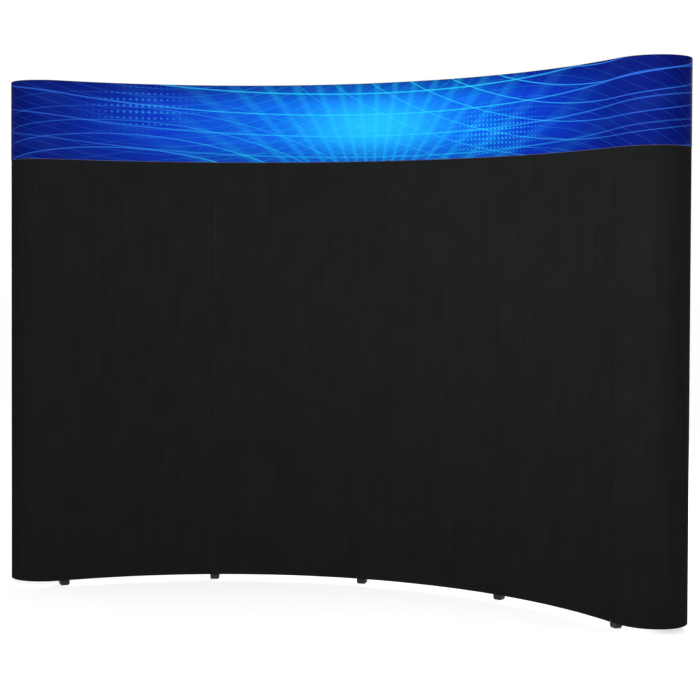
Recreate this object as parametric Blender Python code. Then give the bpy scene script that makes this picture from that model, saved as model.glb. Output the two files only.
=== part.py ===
"""Pop-up display wall: a scissor lattice of tubes on moulded hubs, channel bars, fabric panels and a header.

Seen from above, the wall is an arc that opens towards -Y, where the viewer stands, and +X runs along it.
The origin is on the floor, under the axis of the middle front hub column. Lengths are in metres.
"""

import math

import bmesh
import bpy
from mathutils import Matrix, Vector

# Driving dimensions
HEIGHT = 2.260
CURVE_RADIUS = 1.753
PANEL_WIDTH = 0.678
PANEL_BAYS = 4
ROWS = 3
WALL_DEPTH = 0.305
PANEL_FLOOR_GAP = 0.024
HEADER_HEIGHT = 0.349
HEADER_TOP_MARGIN = 0.002

# Clearances
FIT = 0.0004
SEAM = 0.0008
OVERRUN = 0.002

# Panels and header
PANEL_THICK = 0.0016
MAGNET_WIDTH = 0.013
MAGNET_THICK = 0.0014
MAGNET_INSET = 0.003
MAGNET_MARGIN = 0.030
HEADER_THICK = 0.0010

# End caps: the flats lie on the channel bars, and the bend turns half round between them
CAP_FLAT = 0.016
CAP_BACK_EDGE = 0.0015
CAP_EVEN_BEND_SHARE = 0.52

# Channel bars
BAR_WIDTH = 0.030
BAR_DEPTH = 0.008
BAR_WALL = 0.0015
BAR_FLOOR_GAP = 0.030
BAR_TOP_DROP = 0.020
BAR_SECTIONS = 3
JOINT_GROOVE = 0.002
JOINT_GROOVE_DEPTH = 0.0006

# Hubs and feet
HUB_ACROSS = 0.052
HUB_DEPTH = 0.020
HUB_TOP_DROP = 0.012
CLIP_HEIGHT = 0.030
CLIP_GAP = 0.0006
FOOT_WIDTH = 0.042
FOOT_DEPTH = 0.030
FOOT_HEIGHT = 0.024
FOOT_CHAMFER = 0.006

# Scissor tubes
TUBE_RADIUS = 0.0055
TUBE_OFFSET = 0.0060
TUBE_END_REACH = 0.0030
RIVET_RADIUS = 0.0020
RIVET_HEAD = 0.0015
HUB_PIN_RADIUS = 0.0015
HUB_PIN_PLACE = 0.0185
HUB_SLOT_DEPTH = 0.0135

# Locking arms
ARM_THICK = 0.0050
ARM_HEIGHT = 0.0120
ARM_PIN_RADIUS = 0.0030
ARM_PIN_HEAD_RADIUS = 0.0055
ARM_PIN_HEAD = 0.0015
ARM_PIN_REACH = 0.0090
ARM_LUG_THICK = 0.0040
ARM_LUG_START = 0.0080
ARM_HOOK_LENGTH = 0.0075
ARM_COLUMNS = (1, 2, 3)
ARM_LEVELS = (1, 2)

# Panel hangers
HANGER_HEIGHT = 0.022
HANGER_THICK = 0.0020
HANGER_TOP_DROP = 0.003
HANGER_SIDE_MARGIN = 0.034
TAB_WIDTH = 0.008
TAB_SIDE_STEP = 0.0005
TAB_REACH = 0.005
TAB_THICK = 0.003

# Number of straight runs in each curve
PANEL_RUNS = 12
CAP_RUNS = 22
TUBE_SIDES = 8
RIVET_SIDES = 6

# Worked out from the sizes above
BAY_ANGLE = PANEL_WIDTH / CURVE_RADIUS
BAR_FRONT = CURVE_RADIUS + PANEL_THICK + MAGNET_THICK + FIT
HUB_FRONT = BAR_FRONT + BAR_DEPTH + FIT
HUB_RADIUS = HUB_FRONT + HUB_DEPTH / 2
BACK_OFFSET = WALL_DEPTH - 2 * (HUB_RADIUS - CURVE_RADIUS)
PANEL_TOP = HEIGHT
HEADER_TOP = HEIGHT - HEADER_TOP_MARGIN
HEADER_LOW = HEADER_TOP - HEADER_HEIGHT
BAR_TOP = HEIGHT - BAR_TOP_DROP
LOW_LEVEL = FOOT_HEIGHT + HUB_ACROSS / 2 - OVERRUN
HIGH_LEVEL = HEIGHT - HUB_TOP_DROP - HUB_ACROSS / 2
ROW_HEIGHT = (HIGH_LEVEL - LOW_LEVEL) / ROWS
TAB_LOW = BAR_TOP + FIT
ARM_SIDE = ARM_LUG_START + ARM_LUG_THICK + FIT
ARM_LENGTH = BACK_OFFSET - HUB_DEPTH - 2 * ARM_PIN_REACH

COLOURS = {
    "fabric": ((0.014, 0.015, 0.014), 0.95, 0.0),
    "print": ((0.010, 0.120, 0.560), 0.55, 0.0),
    "aluminium": ((0.560, 0.570, 0.580), 0.35, 1.0),
    "frame": ((0.300, 0.310, 0.320), 0.45, 0.6),
    "bar": ((0.420, 0.430, 0.440), 0.40, 1.0),
    "nylon": ((0.020, 0.020, 0.022), 0.50, 0.0),
}


def clear_scene():
    for obj in list(bpy.data.objects):
        bpy.data.objects.remove(obj, do_unlink=True)


def material(name):
    """The Principled material of this name, made once."""
    if name in bpy.data.materials:
        return bpy.data.materials[name]
    colour, roughness, metallic = COLOURS[name]
    made = bpy.data.materials.new(name)
    made.use_nodes = True
    shader = made.node_tree.nodes["Principled BSDF"]
    shader.inputs["Base Color"].default_value = (*colour, 1.0)
    shader.inputs["Roughness"].default_value = roughness
    shader.inputs["Metallic"].default_value = metallic
    made.diffuse_color = (*colour, 1.0)
    return made


def column_angle(column):
    """The angle of a hub column on the arc, with 0 at the middle one."""
    return (column - PANEL_BAYS / 2) * BAY_ANGLE


def level_height(level):
    return LOW_LEVEL + level * ROW_HEIGHT


def arc_point(angle, radius):
    """A plan point at this angle and radius, with the middle front hub column's axis at the origin."""
    return Vector((radius * math.sin(angle), radius * math.cos(angle) - HUB_RADIUS))


def column_matrix(angle, height):
    """A frame on the front hub axis: X along the wall, Y out of its back and Z up."""
    place = arc_point(angle, HUB_RADIUS)
    return Matrix.Translation((place.x, place.y, height)) @ Matrix.Rotation(-angle, 4, "Z")


def mesh_from(bm, name):
    bmesh.ops.recalc_face_normals(bm, faces=bm.faces)
    mesh = bpy.data.meshes.new(name)
    bm.to_mesh(mesh)
    bm.free()
    return mesh


def prism(outline, low, high, name="prism"):
    """A closed outline in the XY plane, extruded from low to high along Z."""
    bm = bmesh.new()
    face = bm.faces.new([bm.verts.new((x, y, low)) for x, y in outline])
    top = bmesh.ops.extrude_face_region(bm, geom=[face])["geom"]
    corners = [item for item in top if isinstance(item, bmesh.types.BMVert)]
    bmesh.ops.translate(bm, verts=corners, vec=(0, 0, high - low))
    return mesh_from(bm, name)


def box(low, high):
    """A block between two corners."""
    outline = ((low[0], low[1]), (high[0], low[1]), (high[0], high[1]), (low[0], high[1]))
    return prism(outline, low[2], high[2])


def ring(radius, sides, turn_share=0.5):
    """A regular outline, turned by a share of one side."""
    step = 2 * math.pi / sides
    return [
        (radius * math.cos((k + turn_share) * step), radius * math.sin((k + turn_share) * step))
        for k in range(sides)
    ]


def rod(start, end, radius, sides=TUBE_SIDES, turn_share=0.5):
    """A straight round bar between two points."""
    start = Vector(start)
    run = Vector(end) - start
    mesh = prism(ring(radius, sides, turn_share), 0, run.length)
    mesh.transform(Matrix.Translation(start) @ run.to_track_quat("Z", "Y").to_matrix().to_4x4())
    return mesh


def moved(mesh, matrix):
    mesh.transform(matrix)
    return mesh


def combined(base, others, operation):
    """One mesh from a base mesh and others, by a Boolean for each."""
    body = bpy.data.objects.new("body", base)
    bpy.context.collection.objects.link(body)
    tools = []
    for mesh in others:
        tool = bpy.data.objects.new("tool", mesh)
        bpy.context.collection.objects.link(tool)
        tools.append(tool)
        step = body.modifiers.new("step", "BOOLEAN")
        step.object = tool
        step.operation = operation
    graph = bpy.context.evaluated_depsgraph_get()
    result = bpy.data.meshes.new_from_object(body.evaluated_get(graph))
    for obj in [body, *tools]:
        bpy.data.objects.remove(obj, do_unlink=True)
    return result


def joined(meshes):
    return combined(meshes[0], meshes[1:], "UNION")


def carved(mesh, cutters):
    return combined(mesh, cutters, "DIFFERENCE")


def add_node(name, mesh, colour, matrix=None, parent=None, smooth_angle=math.radians(30)):
    """An object for one sub-part, which may share its mesh with its copies."""
    node = bpy.data.objects.new(name, mesh)
    bpy.context.collection.objects.link(node)
    node.parent = parent
    if matrix is not None:
        node.matrix_local = parent.matrix_world.inverted() @ matrix if parent else matrix
    if not mesh.materials:
        mesh.materials.append(material(colour))
    mesh.shade_smooth()
    mesh.set_sharp_from_angle(angle=smooth_angle)
    return node


def add_empty(name, matrix, parent=None):
    empty = bpy.data.objects.new(name, None)
    empty.empty_display_size = HUB_ACROSS
    bpy.context.collection.objects.link(empty)
    empty.parent = parent
    empty.matrix_local = parent.matrix_world.inverted() @ matrix if parent else matrix
    bpy.context.view_layer.update()
    return empty


def octagon(across):
    """A regular octagon with flats on its sides, top and bottom."""
    return ring(across / 2 / math.cos(math.pi / 8), 8)


# Hubs, in the column's frame: x along the wall, y out of its back

UPRIGHT = Matrix.Rotation(math.pi / 2, 4, "X")


def hub_body():
    """The octagonal block, with its axis out of the wall."""
    half = HUB_DEPTH / 2
    return moved(prism(octagon(HUB_ACROSS), -half, half), UPRIGHT)


def hub_slots(sides, back, open_top):
    """The slots that the tube ends turn in, at the hub's sides and top, cut through from front to back.

    A tube that leaves a front hub for the right lies above the hub's middle, and one for the left below it.
    The tube that rises from a front hub lies left of its middle, so each quarter has one slot at most.
    At a back hub it is the other way about.
    """
    hand = -1 if back else 1
    half_gap = TUBE_RADIUS + FIT
    floor = HUB_ACROSS / 2 - HUB_SLOT_DEPTH
    mouth = HUB_ACROSS / 2 + OVERRUN
    half_depth = HUB_DEPTH / 2 + OVERRUN
    cuts = []
    for side in sides:
        near, far = sorted((side * floor, side * mouth))
        middle = side * hand * TUBE_OFFSET
        cuts.append(box((near, -half_depth, middle - half_gap), (far, half_depth, middle + half_gap)))
    if open_top:
        middle = -hand * TUBE_OFFSET
        cuts.append(box((middle - half_gap, -half_depth, floor), (middle + half_gap, half_depth, mouth)))
    return cuts


def hub_pins(sides, back):
    """The pins across the side slots, sunk into the hub above and below the tube."""
    hand = -1 if back else 1
    half = TUBE_RADIUS + FIT + HUB_PIN_RADIUS
    pins = []
    for side in sides:
        place = Vector((side * HUB_PIN_PLACE, 0, side * hand * TUBE_OFFSET))
        reach = Vector((0, 0, half))
        pins.append(rod(place - reach, place + reach, HUB_PIN_RADIUS, RIVET_SIDES))
    return pins


def bar_clip(facing):
    """The block on a hub's outer face that fills the bar: facing is -1 at the front and 1 at the back."""
    face = facing * HUB_DEPTH / 2
    tip = face + facing * (FIT + BAR_DEPTH - BAR_WALL - CLIP_GAP)
    near, far = sorted((face - facing * OVERRUN, tip))
    half_width = BAR_WIDTH / 2 - BAR_WALL - CLIP_GAP
    return (-half_width, near, -CLIP_HEIGHT / 2), (half_width, far, CLIP_HEIGHT / 2)


def foot_block(back):
    """The foot under a lowest hub, flush with the hub's outer face, with chamfered lower corners."""
    half = FOOT_WIDTH / 2
    outline = (
        (-half + FOOT_CHAMFER, 0),
        (half - FOOT_CHAMFER, 0),
        (half, FOOT_CHAMFER),
        (half, FOOT_HEIGHT),
        (-half, FOOT_HEIGHT),
        (-half, FOOT_CHAMFER),
    )
    # The prism's Z points to the front once it is turned upright
    outer = -BACK_OFFSET - HUB_DEPTH / 2 if back else HUB_DEPTH / 2
    inner = outer + FOOT_DEPTH if back else outer - FOOT_DEPTH
    block = moved(prism(outline, min(outer, inner), max(outer, inner)), UPRIGHT)
    return moved(block, Matrix.Translation((0, 0, -LOW_LEVEL)))


def arm_mount(facing):
    """The lug on a hub's inner face, with the headed pin that an arm turns or hooks on."""
    face = facing * HUB_DEPTH / 2
    pin_y = face + facing * ARM_PIN_REACH
    near, far = sorted((face - facing * OVERRUN, pin_y + facing * ARM_PIN_RADIUS * 2))
    lug_end = ARM_LUG_START + ARM_LUG_THICK
    lug = box((ARM_LUG_START, near, -ARM_HEIGHT / 2), (lug_end, far, ARM_HEIGHT / 2))
    head = ARM_SIDE + ARM_THICK + FIT
    pin_start = (ARM_LUG_START + ARM_LUG_THICK / 2, pin_y, 0)
    pin = rod(pin_start, (head + ARM_PIN_HEAD / 2, pin_y, 0), ARM_PIN_RADIUS, RIVET_SIDES)
    cap = rod((head, pin_y, 0), (head + ARM_PIN_HEAD, pin_y, 0), ARM_PIN_HEAD_RADIUS, RIVET_SIDES)
    return [lug, pin, cap]


def hub(height, back, sides, open_top, clip, arm):
    """One whole hub, with its pins, clip and arm mount, at a height in the unit's frame."""
    facing = 1 if back else -1
    solids = [carved(hub_body(), hub_slots(sides, back, open_top)), *hub_pins(sides, back)]
    if clip:
        solids.append(box(*bar_clip(facing)))
    if arm:
        solids += arm_mount(-facing)
    place = Matrix.Translation((0, BACK_OFFSET if back else 0, height))
    return moved(joined(solids), place)


def rivet(place, axis):
    """The rivet through a crossing pair of tubes, with a head proud of each."""
    half = TUBE_OFFSET + TUBE_RADIUS + RIVET_HEAD
    reach = Vector(axis) * half
    return rod(Vector(place) - reach, Vector(place) + reach, RIVET_RADIUS, RIVET_SIDES)


def upright_tube(x, start, end):
    """A tube of an upright pair, from a lower hub's pin to an upper hub's, and a little past both."""
    low = Vector((x, start, HUB_PIN_PLACE))
    high = Vector((x, end, ROW_HEIGHT - HUB_PIN_PLACE))
    past = (high - low).normalized() * TUBE_END_REACH
    return rod(low - past, high + past, TUBE_RADIUS)


def upright_unit(row, sides, rear_clip, armed):
    """One upright scissor pair with its hubs: the lowest pair carries four, the others their upper two."""
    rising_back = upright_tube(-TUBE_OFFSET, 0.0, BACK_OFFSET)
    rising_front = upright_tube(TUBE_OFFSET, BACK_OFFSET, 0.0)
    crossing = (0, BACK_OFFSET / 2, ROW_HEIGHT / 2)
    solids = [rising_back, rivet(crossing, (1, 0, 0)), rising_front]
    for back in (False, True):
        clip = rear_clip or not back
        solids.append(hub(ROW_HEIGHT, back, sides, row + 1 < ROWS, clip, armed))
        if row == 0:
            solids.append(hub(0.0, back, sides, False, clip, False))
            solids.append(foot_block(back))
    return joined(solids)


def add_uprights(frame):
    """Fifteen upright units, in five columns of three."""
    made = {}
    for column in range(PANEL_BAYS + 1):
        sides = tuple(side for side in (-1, 1) if 0 <= column + side <= PANEL_BAYS)
        for row in range(ROWS):
            armed = column in ARM_COLUMNS and row + 1 in ARM_LEVELS
            kind = (row, sides, len(sides) < 2, armed)
            if kind not in made:
                made[kind] = upright_unit(*kind)
            place = column_matrix(column_angle(column), level_height(row))
            add_node(f"upright_scissor_{column + 1}_{row + 1}", made[kind], "frame", place, frame)


def level_pair(start_matrix, end_matrix):
    """One level scissor pair between two columns, bored for the hub pins, with its level at height zero."""
    tubes = []
    bores = []
    for start_back in (False, True):
        start_y, end_y = (BACK_OFFSET, 0) if start_back else (0, BACK_OFFSET)
        lift = Vector((0, 0, -TUBE_OFFSET if start_back else TUBE_OFFSET))
        start = start_matrix @ Vector((HUB_PIN_PLACE, start_y, 0)) + lift
        end = end_matrix @ Vector((-HUB_PIN_PLACE, end_y, 0)) + lift
        past = (end - start).normalized() * TUBE_END_REACH
        tubes.append(rod(start - past, end + past, TUBE_RADIUS))
        reach = Vector((0, 0, TUBE_RADIUS + OVERRUN))
        bores += [rod(pin - reach, pin + reach, HUB_PIN_RADIUS + FIT, RIVET_SIDES) for pin in (start, end)]
    crossing = pair_crossing(start_matrix, end_matrix)
    return carved(joined([tubes[0], rivet(crossing, (0, 0, 1)), tubes[1]]), bores)


def pair_crossing(start_matrix, end_matrix):
    """Where the two tubes of a level pair cross in plan: half-way between the columns."""
    start = start_matrix @ Vector((HUB_PIN_PLACE, 0, 0))
    end = end_matrix @ Vector((-HUB_PIN_PLACE, BACK_OFFSET, 0))
    opposite = end_matrix @ Vector((-HUB_PIN_PLACE, 0, 0))
    along = (opposite - start).normalized()
    run = end - start
    return start + run * ((opposite - start).length / 2 / run.dot(along))


def add_level_pairs(frame):
    """Sixteen level pairs, four in each bay, which share one mesh."""
    half = BAY_ANGLE / 2
    mesh = level_pair(column_matrix(-half, 0.0), column_matrix(half, 0.0))
    middle = column_matrix(0.0, 0.0)
    mesh.transform(middle.inverted())
    for bay in range(PANEL_BAYS):
        angle = (column_angle(bay) + column_angle(bay + 1)) / 2
        for level in range(ROWS + 1):
            place = Matrix.Rotation(-angle, 4, "Z")
            centre = Matrix.Translation((0, -HUB_RADIUS, level_height(level)))
            back = Matrix.Translation((0, HUB_RADIUS, 0))
            add_node(f"level_scissor_{bay + 1}_{level + 1}", mesh, "aluminium", centre @ place @ back, frame)


def channel_bar():
    """A channel bar that opens towards the hubs at +Y, in three sections with a fine groove at each joint."""
    half = BAR_WIDTH / 2
    inner = half - BAR_WALL
    outline = (
        (-half, 0),
        (half, 0),
        (half, BAR_DEPTH),
        (inner, BAR_DEPTH),
        (inner, BAR_WALL),
        (-inner, BAR_WALL),
        (-inner, BAR_DEPTH),
        (-half, BAR_DEPTH),
    )
    bar = prism(outline, BAR_FLOOR_GAP, BAR_TOP)
    grooves = []
    for joint in range(1, BAR_SECTIONS):
        height = BAR_FLOOR_GAP + joint * (BAR_TOP - BAR_FLOOR_GAP) / BAR_SECTIONS
        low = (-half - OVERRUN, -OVERRUN, height - JOINT_GROOVE / 2)
        high = (half + OVERRUN, JOINT_GROOVE_DEPTH, height + JOINT_GROOVE / 2)
        grooves.append(box(low, high))
    return carved(bar, grooves)


def add_bars(frame):
    """Five bars behind the panels' seams, and one at the back of each end column."""
    mesh = channel_bar()
    front = Matrix.Translation((0, BAR_FRONT - HUB_RADIUS, 0))
    rear = Matrix.Translation((0, BACK_OFFSET + HUB_RADIUS - BAR_FRONT, 0)) @ Matrix.Rotation(math.pi, 4, "Z")
    for column in range(PANEL_BAYS + 1):
        place = column_matrix(column_angle(column), 0.0)
        add_node(f"front_channel_bar_{column + 1}", mesh, "bar", place @ front, frame)
    for side, column in (("left", 0), ("right", PANEL_BAYS)):
        place = column_matrix(column_angle(column), 0.0)
        add_node(f"rear_channel_bar_{side}", mesh, "bar", place @ rear, frame)


def edge_x(column, radius=CURVE_RADIUS):
    """The plan place of a seam: the panels' edges are cut straight back from here, so they come off forwards."""
    return radius * math.sin(column_angle(column))


def curved_outline(low_x, high_x, inner, outer, runs=PANEL_RUNS):
    """The plan of a sheet between two radii and two straight edges that run along Y."""
    def arc(radius):
        start = math.asin(low_x / radius)
        end = math.asin(high_x / radius)
        return [arc_point(start + (end - start) * k / runs, radius) for k in range(runs + 1)]

    return [*arc(inner), *reversed(arc(outer))]


def local_sheet(outline, low, high, origin):
    """A sheet's mesh about its own origin."""
    return prism([(x - origin.x, y - origin.y) for x, y in outline], low - origin.z, high - origin.z)


def bay_middle(bay, height):
    place = arc_point((column_angle(bay) + column_angle(bay + 1)) / 2, CURVE_RADIUS)
    return Vector((place.x, place.y, height))


def magnet_strip(low_x, high_x):
    """The magnet strip along a panel's edge, on its back."""
    back = CURVE_RADIUS + PANEL_THICK
    return prism(
        curved_outline(low_x, high_x, back - PANEL_THICK / 2, back + MAGNET_THICK, 1),
        PANEL_FLOOR_GAP + MAGNET_MARGIN,
        PANEL_TOP - MAGNET_MARGIN,
    )


def add_front_panels(wall):
    """Four fabric panels, each with its printed header section and the hanger on its back."""
    hanger = panel_hanger()
    for bay in range(PANEL_BAYS):
        number = bay + 1
        low_x = edge_x(bay) + SEAM / 2
        high_x = edge_x(bay + 1) - SEAM / 2
        origin = bay_middle(bay, PANEL_FLOOR_GAP)
        home = Matrix.Translation(-origin)
        back = CURVE_RADIUS + PANEL_THICK
        sheet = prism(
            curved_outline(low_x, high_x, CURVE_RADIUS, back), PANEL_FLOOR_GAP, PANEL_TOP
        )
        squeeze = math.cos(column_angle(bay if bay < PANEL_BAYS / 2 else number))
        width = MAGNET_WIDTH * squeeze
        inset = MAGNET_INSET * squeeze
        strips = [
            magnet_strip(low_x + inset, low_x + inset + width),
            magnet_strip(high_x - inset - width, high_x - inset),
        ]
        panel_mesh = moved(joined([sheet, *strips]), home)
        panel = add_node(f"front_panel_{number}", panel_mesh, "fabric", home.inverted(), wall)
        bpy.context.view_layer.update()
        add_hanger(bay, hanger, panel)

        header_origin = bay_middle(bay, HEADER_LOW)
        outline = curved_outline(low_x, high_x, CURVE_RADIUS - FIT - HEADER_THICK, CURVE_RADIUS - FIT)
        header = local_sheet(outline, HEADER_LOW, HEADER_TOP, header_origin)
        place = Matrix.Translation(header_origin)
        add_node(f"header_section_{number}", header, "print", place, panel)


def sector(start, end, inner, outer, runs=1):
    """The plan of a strip between two angles and two radii."""
    def arc(radius):
        step = (end - start) / runs
        return [arc_point(start + step * k, radius) for k in range(runs + 1)]

    return [*arc(inner), *reversed(arc(outer))]


def panel_hanger():
    """A stiff curved strip with an ear at each end, from which a ledge reaches back onto the channel bar."""
    inner = CURVE_RADIUS + PANEL_THICK + FIT
    outer = inner + HANGER_THICK
    high = PANEL_TOP - HANGER_TOP_DROP
    low = high - HANGER_HEIGHT
    # The ears end short of the seam, so that the ledge of a panel that slides off passes its neighbour's
    ear_end = BAY_ANGLE / 2 - (SEAM + 2 * MAGNET_INSET) / CURVE_RADIUS
    # The ledge steps in from the ear's end, and its lower quarter stands below the ear
    ledge_edge = ear_end - TAB_SIDE_STEP / CURVE_RADIUS
    ledge_end = ledge_edge - TAB_WIDTH / CURVE_RADIUS
    body_end = BAY_ANGLE / 2 - HANGER_SIDE_MARGIN / CURVE_RADIUS
    past_end = BAY_ANGLE / 2
    strip = prism(sector(-ear_end, ear_end, inner, outer, PANEL_RUNS), low, high)
    cuts = []
    ledges = []
    for side in (-1, 1):
        notch = sector(side * body_end, side * past_end, inner - OVERRUN, outer + OVERRUN)
        cuts.append(prism(notch, low - OVERRUN, TAB_LOW + TAB_THICK / 4))
        ledge = sector(side * ledge_end, side * ledge_edge, inner + HANGER_THICK / 2, BAR_FRONT + TAB_REACH)
        ledges.append(prism(ledge, TAB_LOW, TAB_LOW + TAB_THICK))
    mesh = joined([carved(strip, cuts), *ledges])
    return moved(mesh, Matrix.Translation((0, 0, -high)))


def add_hanger(bay, mesh, panel):
    """A hanger on the upper back edge of a panel. It shares its mesh with the others."""
    middle = (column_angle(bay) + column_angle(bay + 1)) / 2
    place = column_matrix(middle, PANEL_TOP - HANGER_TOP_DROP)
    add_node(f"panel_hanger_{bay + 1}", mesh, "nylon", place, panel)


def cap_curve(outset):
    """The end cap's plan line in the end column's frame, as points along X and Y with the outward normals.

    The turn is shared between an even bend and one that is strongest in the middle, and the line is then moved
    outwards by outset. It starts and ends with a flat over the channel bars.
    """
    steps = CAP_RUNS * 4
    turns = []
    for k in range(steps + 1):
        u = k / steps
        eased = (1 - math.cos(math.pi * u)) / 2
        turns.append(math.pi * (CAP_EVEN_BEND_SHARE * u + (1 - CAP_EVEN_BEND_SHARE) * eased))
    along = [0.0]
    across = [0.0]
    for first, second in zip(turns, turns[1:]):
        middle = (first + second) / 2
        along.append(along[-1] + math.cos(middle))
        across.append(across[-1] + math.sin(middle))
    scale = WALL_DEPTH / across[-1]
    front = CURVE_RADIUS - HUB_RADIUS
    points = []
    for k in range(0, steps + 1, 4):
        outward = Vector((math.sin(turns[k]), -math.cos(turns[k])))
        place = Vector((CAP_FLAT + along[k] * scale, front + across[k] * scale))
        points.append(place + outward * outset)
    return points


def cap_start(outset):
    """Where the cap's front edge lies at an outset, cut straight back like the panel's edge beside it."""
    angle = column_angle(PANEL_BAYS)
    return (SEAM / 2 + outset * math.sin(angle)) / math.cos(angle)


def cap_outline(outer, inner, end):
    """A sheet round the cap between two outsets, from the seam to an end over the back channel bar."""
    outside = cap_curve(outer)
    inside = cap_curve(inner)
    return [
        Vector((cap_start(outer), outside[0].y)),
        *outside,
        Vector((end, outside[-1].y)),
        Vector((end, inside[-1].y)),
        *reversed(inside),
        Vector((cap_start(inner), inside[0].y)),
    ]


def mirrored_outline(outline, side):
    return [(side * point[0], point[1]) for point in outline]


def cap_tab(front, side):
    """The tab at a cap's top corner that rests on the channel bar, in the end column's frame."""
    bar_face = BAR_FRONT - HUB_RADIUS
    near = bar_face - MAGNET_THICK - FIT - PANEL_THICK / 2
    far = bar_face + TAB_REACH
    start = MAGNET_INSET
    if not front:
        near, far = BACK_OFFSET - far, BACK_OFFSET - near
    outline = ((start, near), (start + TAB_WIDTH, near), (start + TAB_WIDTH, far), (start, far))
    return prism(mirrored_outline(outline, side), TAB_LOW, TAB_LOW + TAB_THICK)


def cap_magnet(front, side):
    """The magnet strip along a cap's front or back edge."""
    face = CURVE_RADIUS + PANEL_THICK - HUB_RADIUS
    near, far = face - PANEL_THICK / 2, face + MAGNET_THICK
    if not front:
        near, far = BACK_OFFSET - far, BACK_OFFSET - near
    start = MAGNET_INSET
    outline = ((start, near), (start + MAGNET_WIDTH, near), (start + MAGNET_WIDTH, far), (start, far))
    return prism(
        mirrored_outline(outline, side), PANEL_FLOOR_GAP + MAGNET_MARGIN, PANEL_TOP - MAGNET_MARGIN
    )


def add_end_caps(wall):
    """Two rounded ends, on the front and rear bars of the end columns, each with its header section."""
    for name, side, column in (("left", -1, 0), ("right", 1, PANEL_BAYS)):
        frame = column_matrix(column_angle(column), 0.0)
        outline = cap_outline(0.0, -PANEL_THICK, CAP_BACK_EDGE)
        sheet = prism(mirrored_outline(outline, side), PANEL_FLOOR_GAP, PANEL_TOP)
        extras = [cap_magnet(True, side), cap_magnet(False, side), cap_tab(True, side), cap_tab(False, side)]
        lift = Matrix.Translation((0, 0, -PANEL_FLOOR_GAP))
        place = frame @ lift.inverted()
        cap = add_node(f"end_cap_{name}", moved(joined([sheet, *extras]), lift), "fabric", place, wall)
        bpy.context.view_layer.update()

        band = cap_outline(FIT + HEADER_THICK, FIT, CAP_BACK_EDGE)
        header = prism(mirrored_outline(band, side), 0.0, HEADER_HEIGHT)
        place = frame @ Matrix.Translation((0, 0, HEADER_LOW))
        add_node(f"header_section_{name}", header, "print", place, cap)


def locking_arm():
    """A flat arm from the back hub's pin, at its origin, to a hook on the front hub's pin."""
    half = ARM_HEIGHT / 2
    rounding = [
        (half * math.cos(math.radians(turn)), half * math.sin(math.radians(turn)))
        for turn in (-90, -45, 0, 45, 90)
    ]
    notch = ARM_PIN_RADIUS + FIT
    tip = -ARM_LENGTH - ARM_HOOK_LENGTH
    outline = [
        *rounding,
        (-ARM_LENGTH + notch, half),
        (-ARM_LENGTH + notch, -notch),
        (-ARM_LENGTH - notch, -notch),
        (-ARM_LENGTH - notch, half),
        (tip, half),
        (tip, -half / 2),
        (tip + half / 2, -half),
    ]
    blade = prism(outline, 0.0, ARM_THICK)
    hole = rod((0, 0, -OVERRUN), (0, 0, ARM_THICK + OVERRUN), ARM_PIN_RADIUS + FIT)
    mesh = carved(blade, [hole])
    # The outline's X becomes the wall's depth, its Y the height, and its thickness the way along the wall
    mesh.transform(Matrix(((0, 0, 1, 0), (1, 0, 0, 0), (0, 1, 0, 0), (0, 0, 0, 1))))
    return mesh


def add_arms(frame):
    mesh = locking_arm()
    hinge_y = BACK_OFFSET - HUB_DEPTH / 2 - ARM_PIN_REACH
    for column in ARM_COLUMNS:
        for level in ARM_LEVELS:
            place = column_matrix(column_angle(column), level_height(level))
            hinge = place @ Matrix.Translation((ARM_SIDE, hinge_y, 0))
            pivot = add_empty(f"arm_hinge_{column + 1}_{level + 1}", hinge, frame)
            add_node(f"locking_arm_{column + 1}_{level + 1}", mesh, "nylon", hinge, pivot)


def main():
    clear_scene()
    frame = add_empty("frame", Matrix.Identity(4))
    wall = add_empty("wall", Matrix.Identity(4))
    add_uprights(frame)
    add_level_pairs(frame)
    add_bars(frame)
    add_front_panels(wall)
    add_end_caps(wall)
    add_arms(frame)


main()
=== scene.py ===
"""Dresses the pop-up display wall: panels, rounded ends, printed header, bars, tubes, hubs and arms.

Lengths are in metres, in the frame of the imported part: +X along the wall, +Y out of its back, +Z up, and
the origin on the floor under the axis of the middle front hub column. A shape is worked out as an array of
points.
"""

import math
from types import SimpleNamespace

import bpy
import numpy as np
from mathutils import Matrix, Vector
from mathutils.geometry import tessellate_polygon


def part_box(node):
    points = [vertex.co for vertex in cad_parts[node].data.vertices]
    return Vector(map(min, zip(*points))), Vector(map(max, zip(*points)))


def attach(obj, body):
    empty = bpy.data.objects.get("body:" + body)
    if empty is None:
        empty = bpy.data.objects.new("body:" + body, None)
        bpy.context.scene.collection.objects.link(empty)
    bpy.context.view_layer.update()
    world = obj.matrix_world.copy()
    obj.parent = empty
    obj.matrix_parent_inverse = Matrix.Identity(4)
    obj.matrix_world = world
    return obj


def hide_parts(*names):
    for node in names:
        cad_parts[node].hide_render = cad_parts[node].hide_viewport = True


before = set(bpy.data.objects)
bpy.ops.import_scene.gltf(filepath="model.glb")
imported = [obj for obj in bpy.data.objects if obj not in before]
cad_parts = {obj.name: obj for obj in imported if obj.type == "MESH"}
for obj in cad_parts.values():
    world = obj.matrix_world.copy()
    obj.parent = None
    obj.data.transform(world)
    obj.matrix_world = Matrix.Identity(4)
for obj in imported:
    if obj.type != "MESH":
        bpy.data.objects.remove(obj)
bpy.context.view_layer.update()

bl_info = {
    "name": "Pop-up Display Wall",
    "version": (1, 0, 0),
    "blender": (4, 5, 0),
    "location": "3D View > Sidebar > Display Wall",
    "description": "Makes a curved pop-up display wall over its packed frame",
    "category": "Object",
}

BAYS = 4
ROWS = 3
BAR_SECTIONS = 3
SECTION_GAP = 0.0006
ARMED_COLUMNS = (1, 2, 3)
ARMED_LEVELS = (1, 2)
SIDES = {"left": -1, "right": 1}

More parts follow.
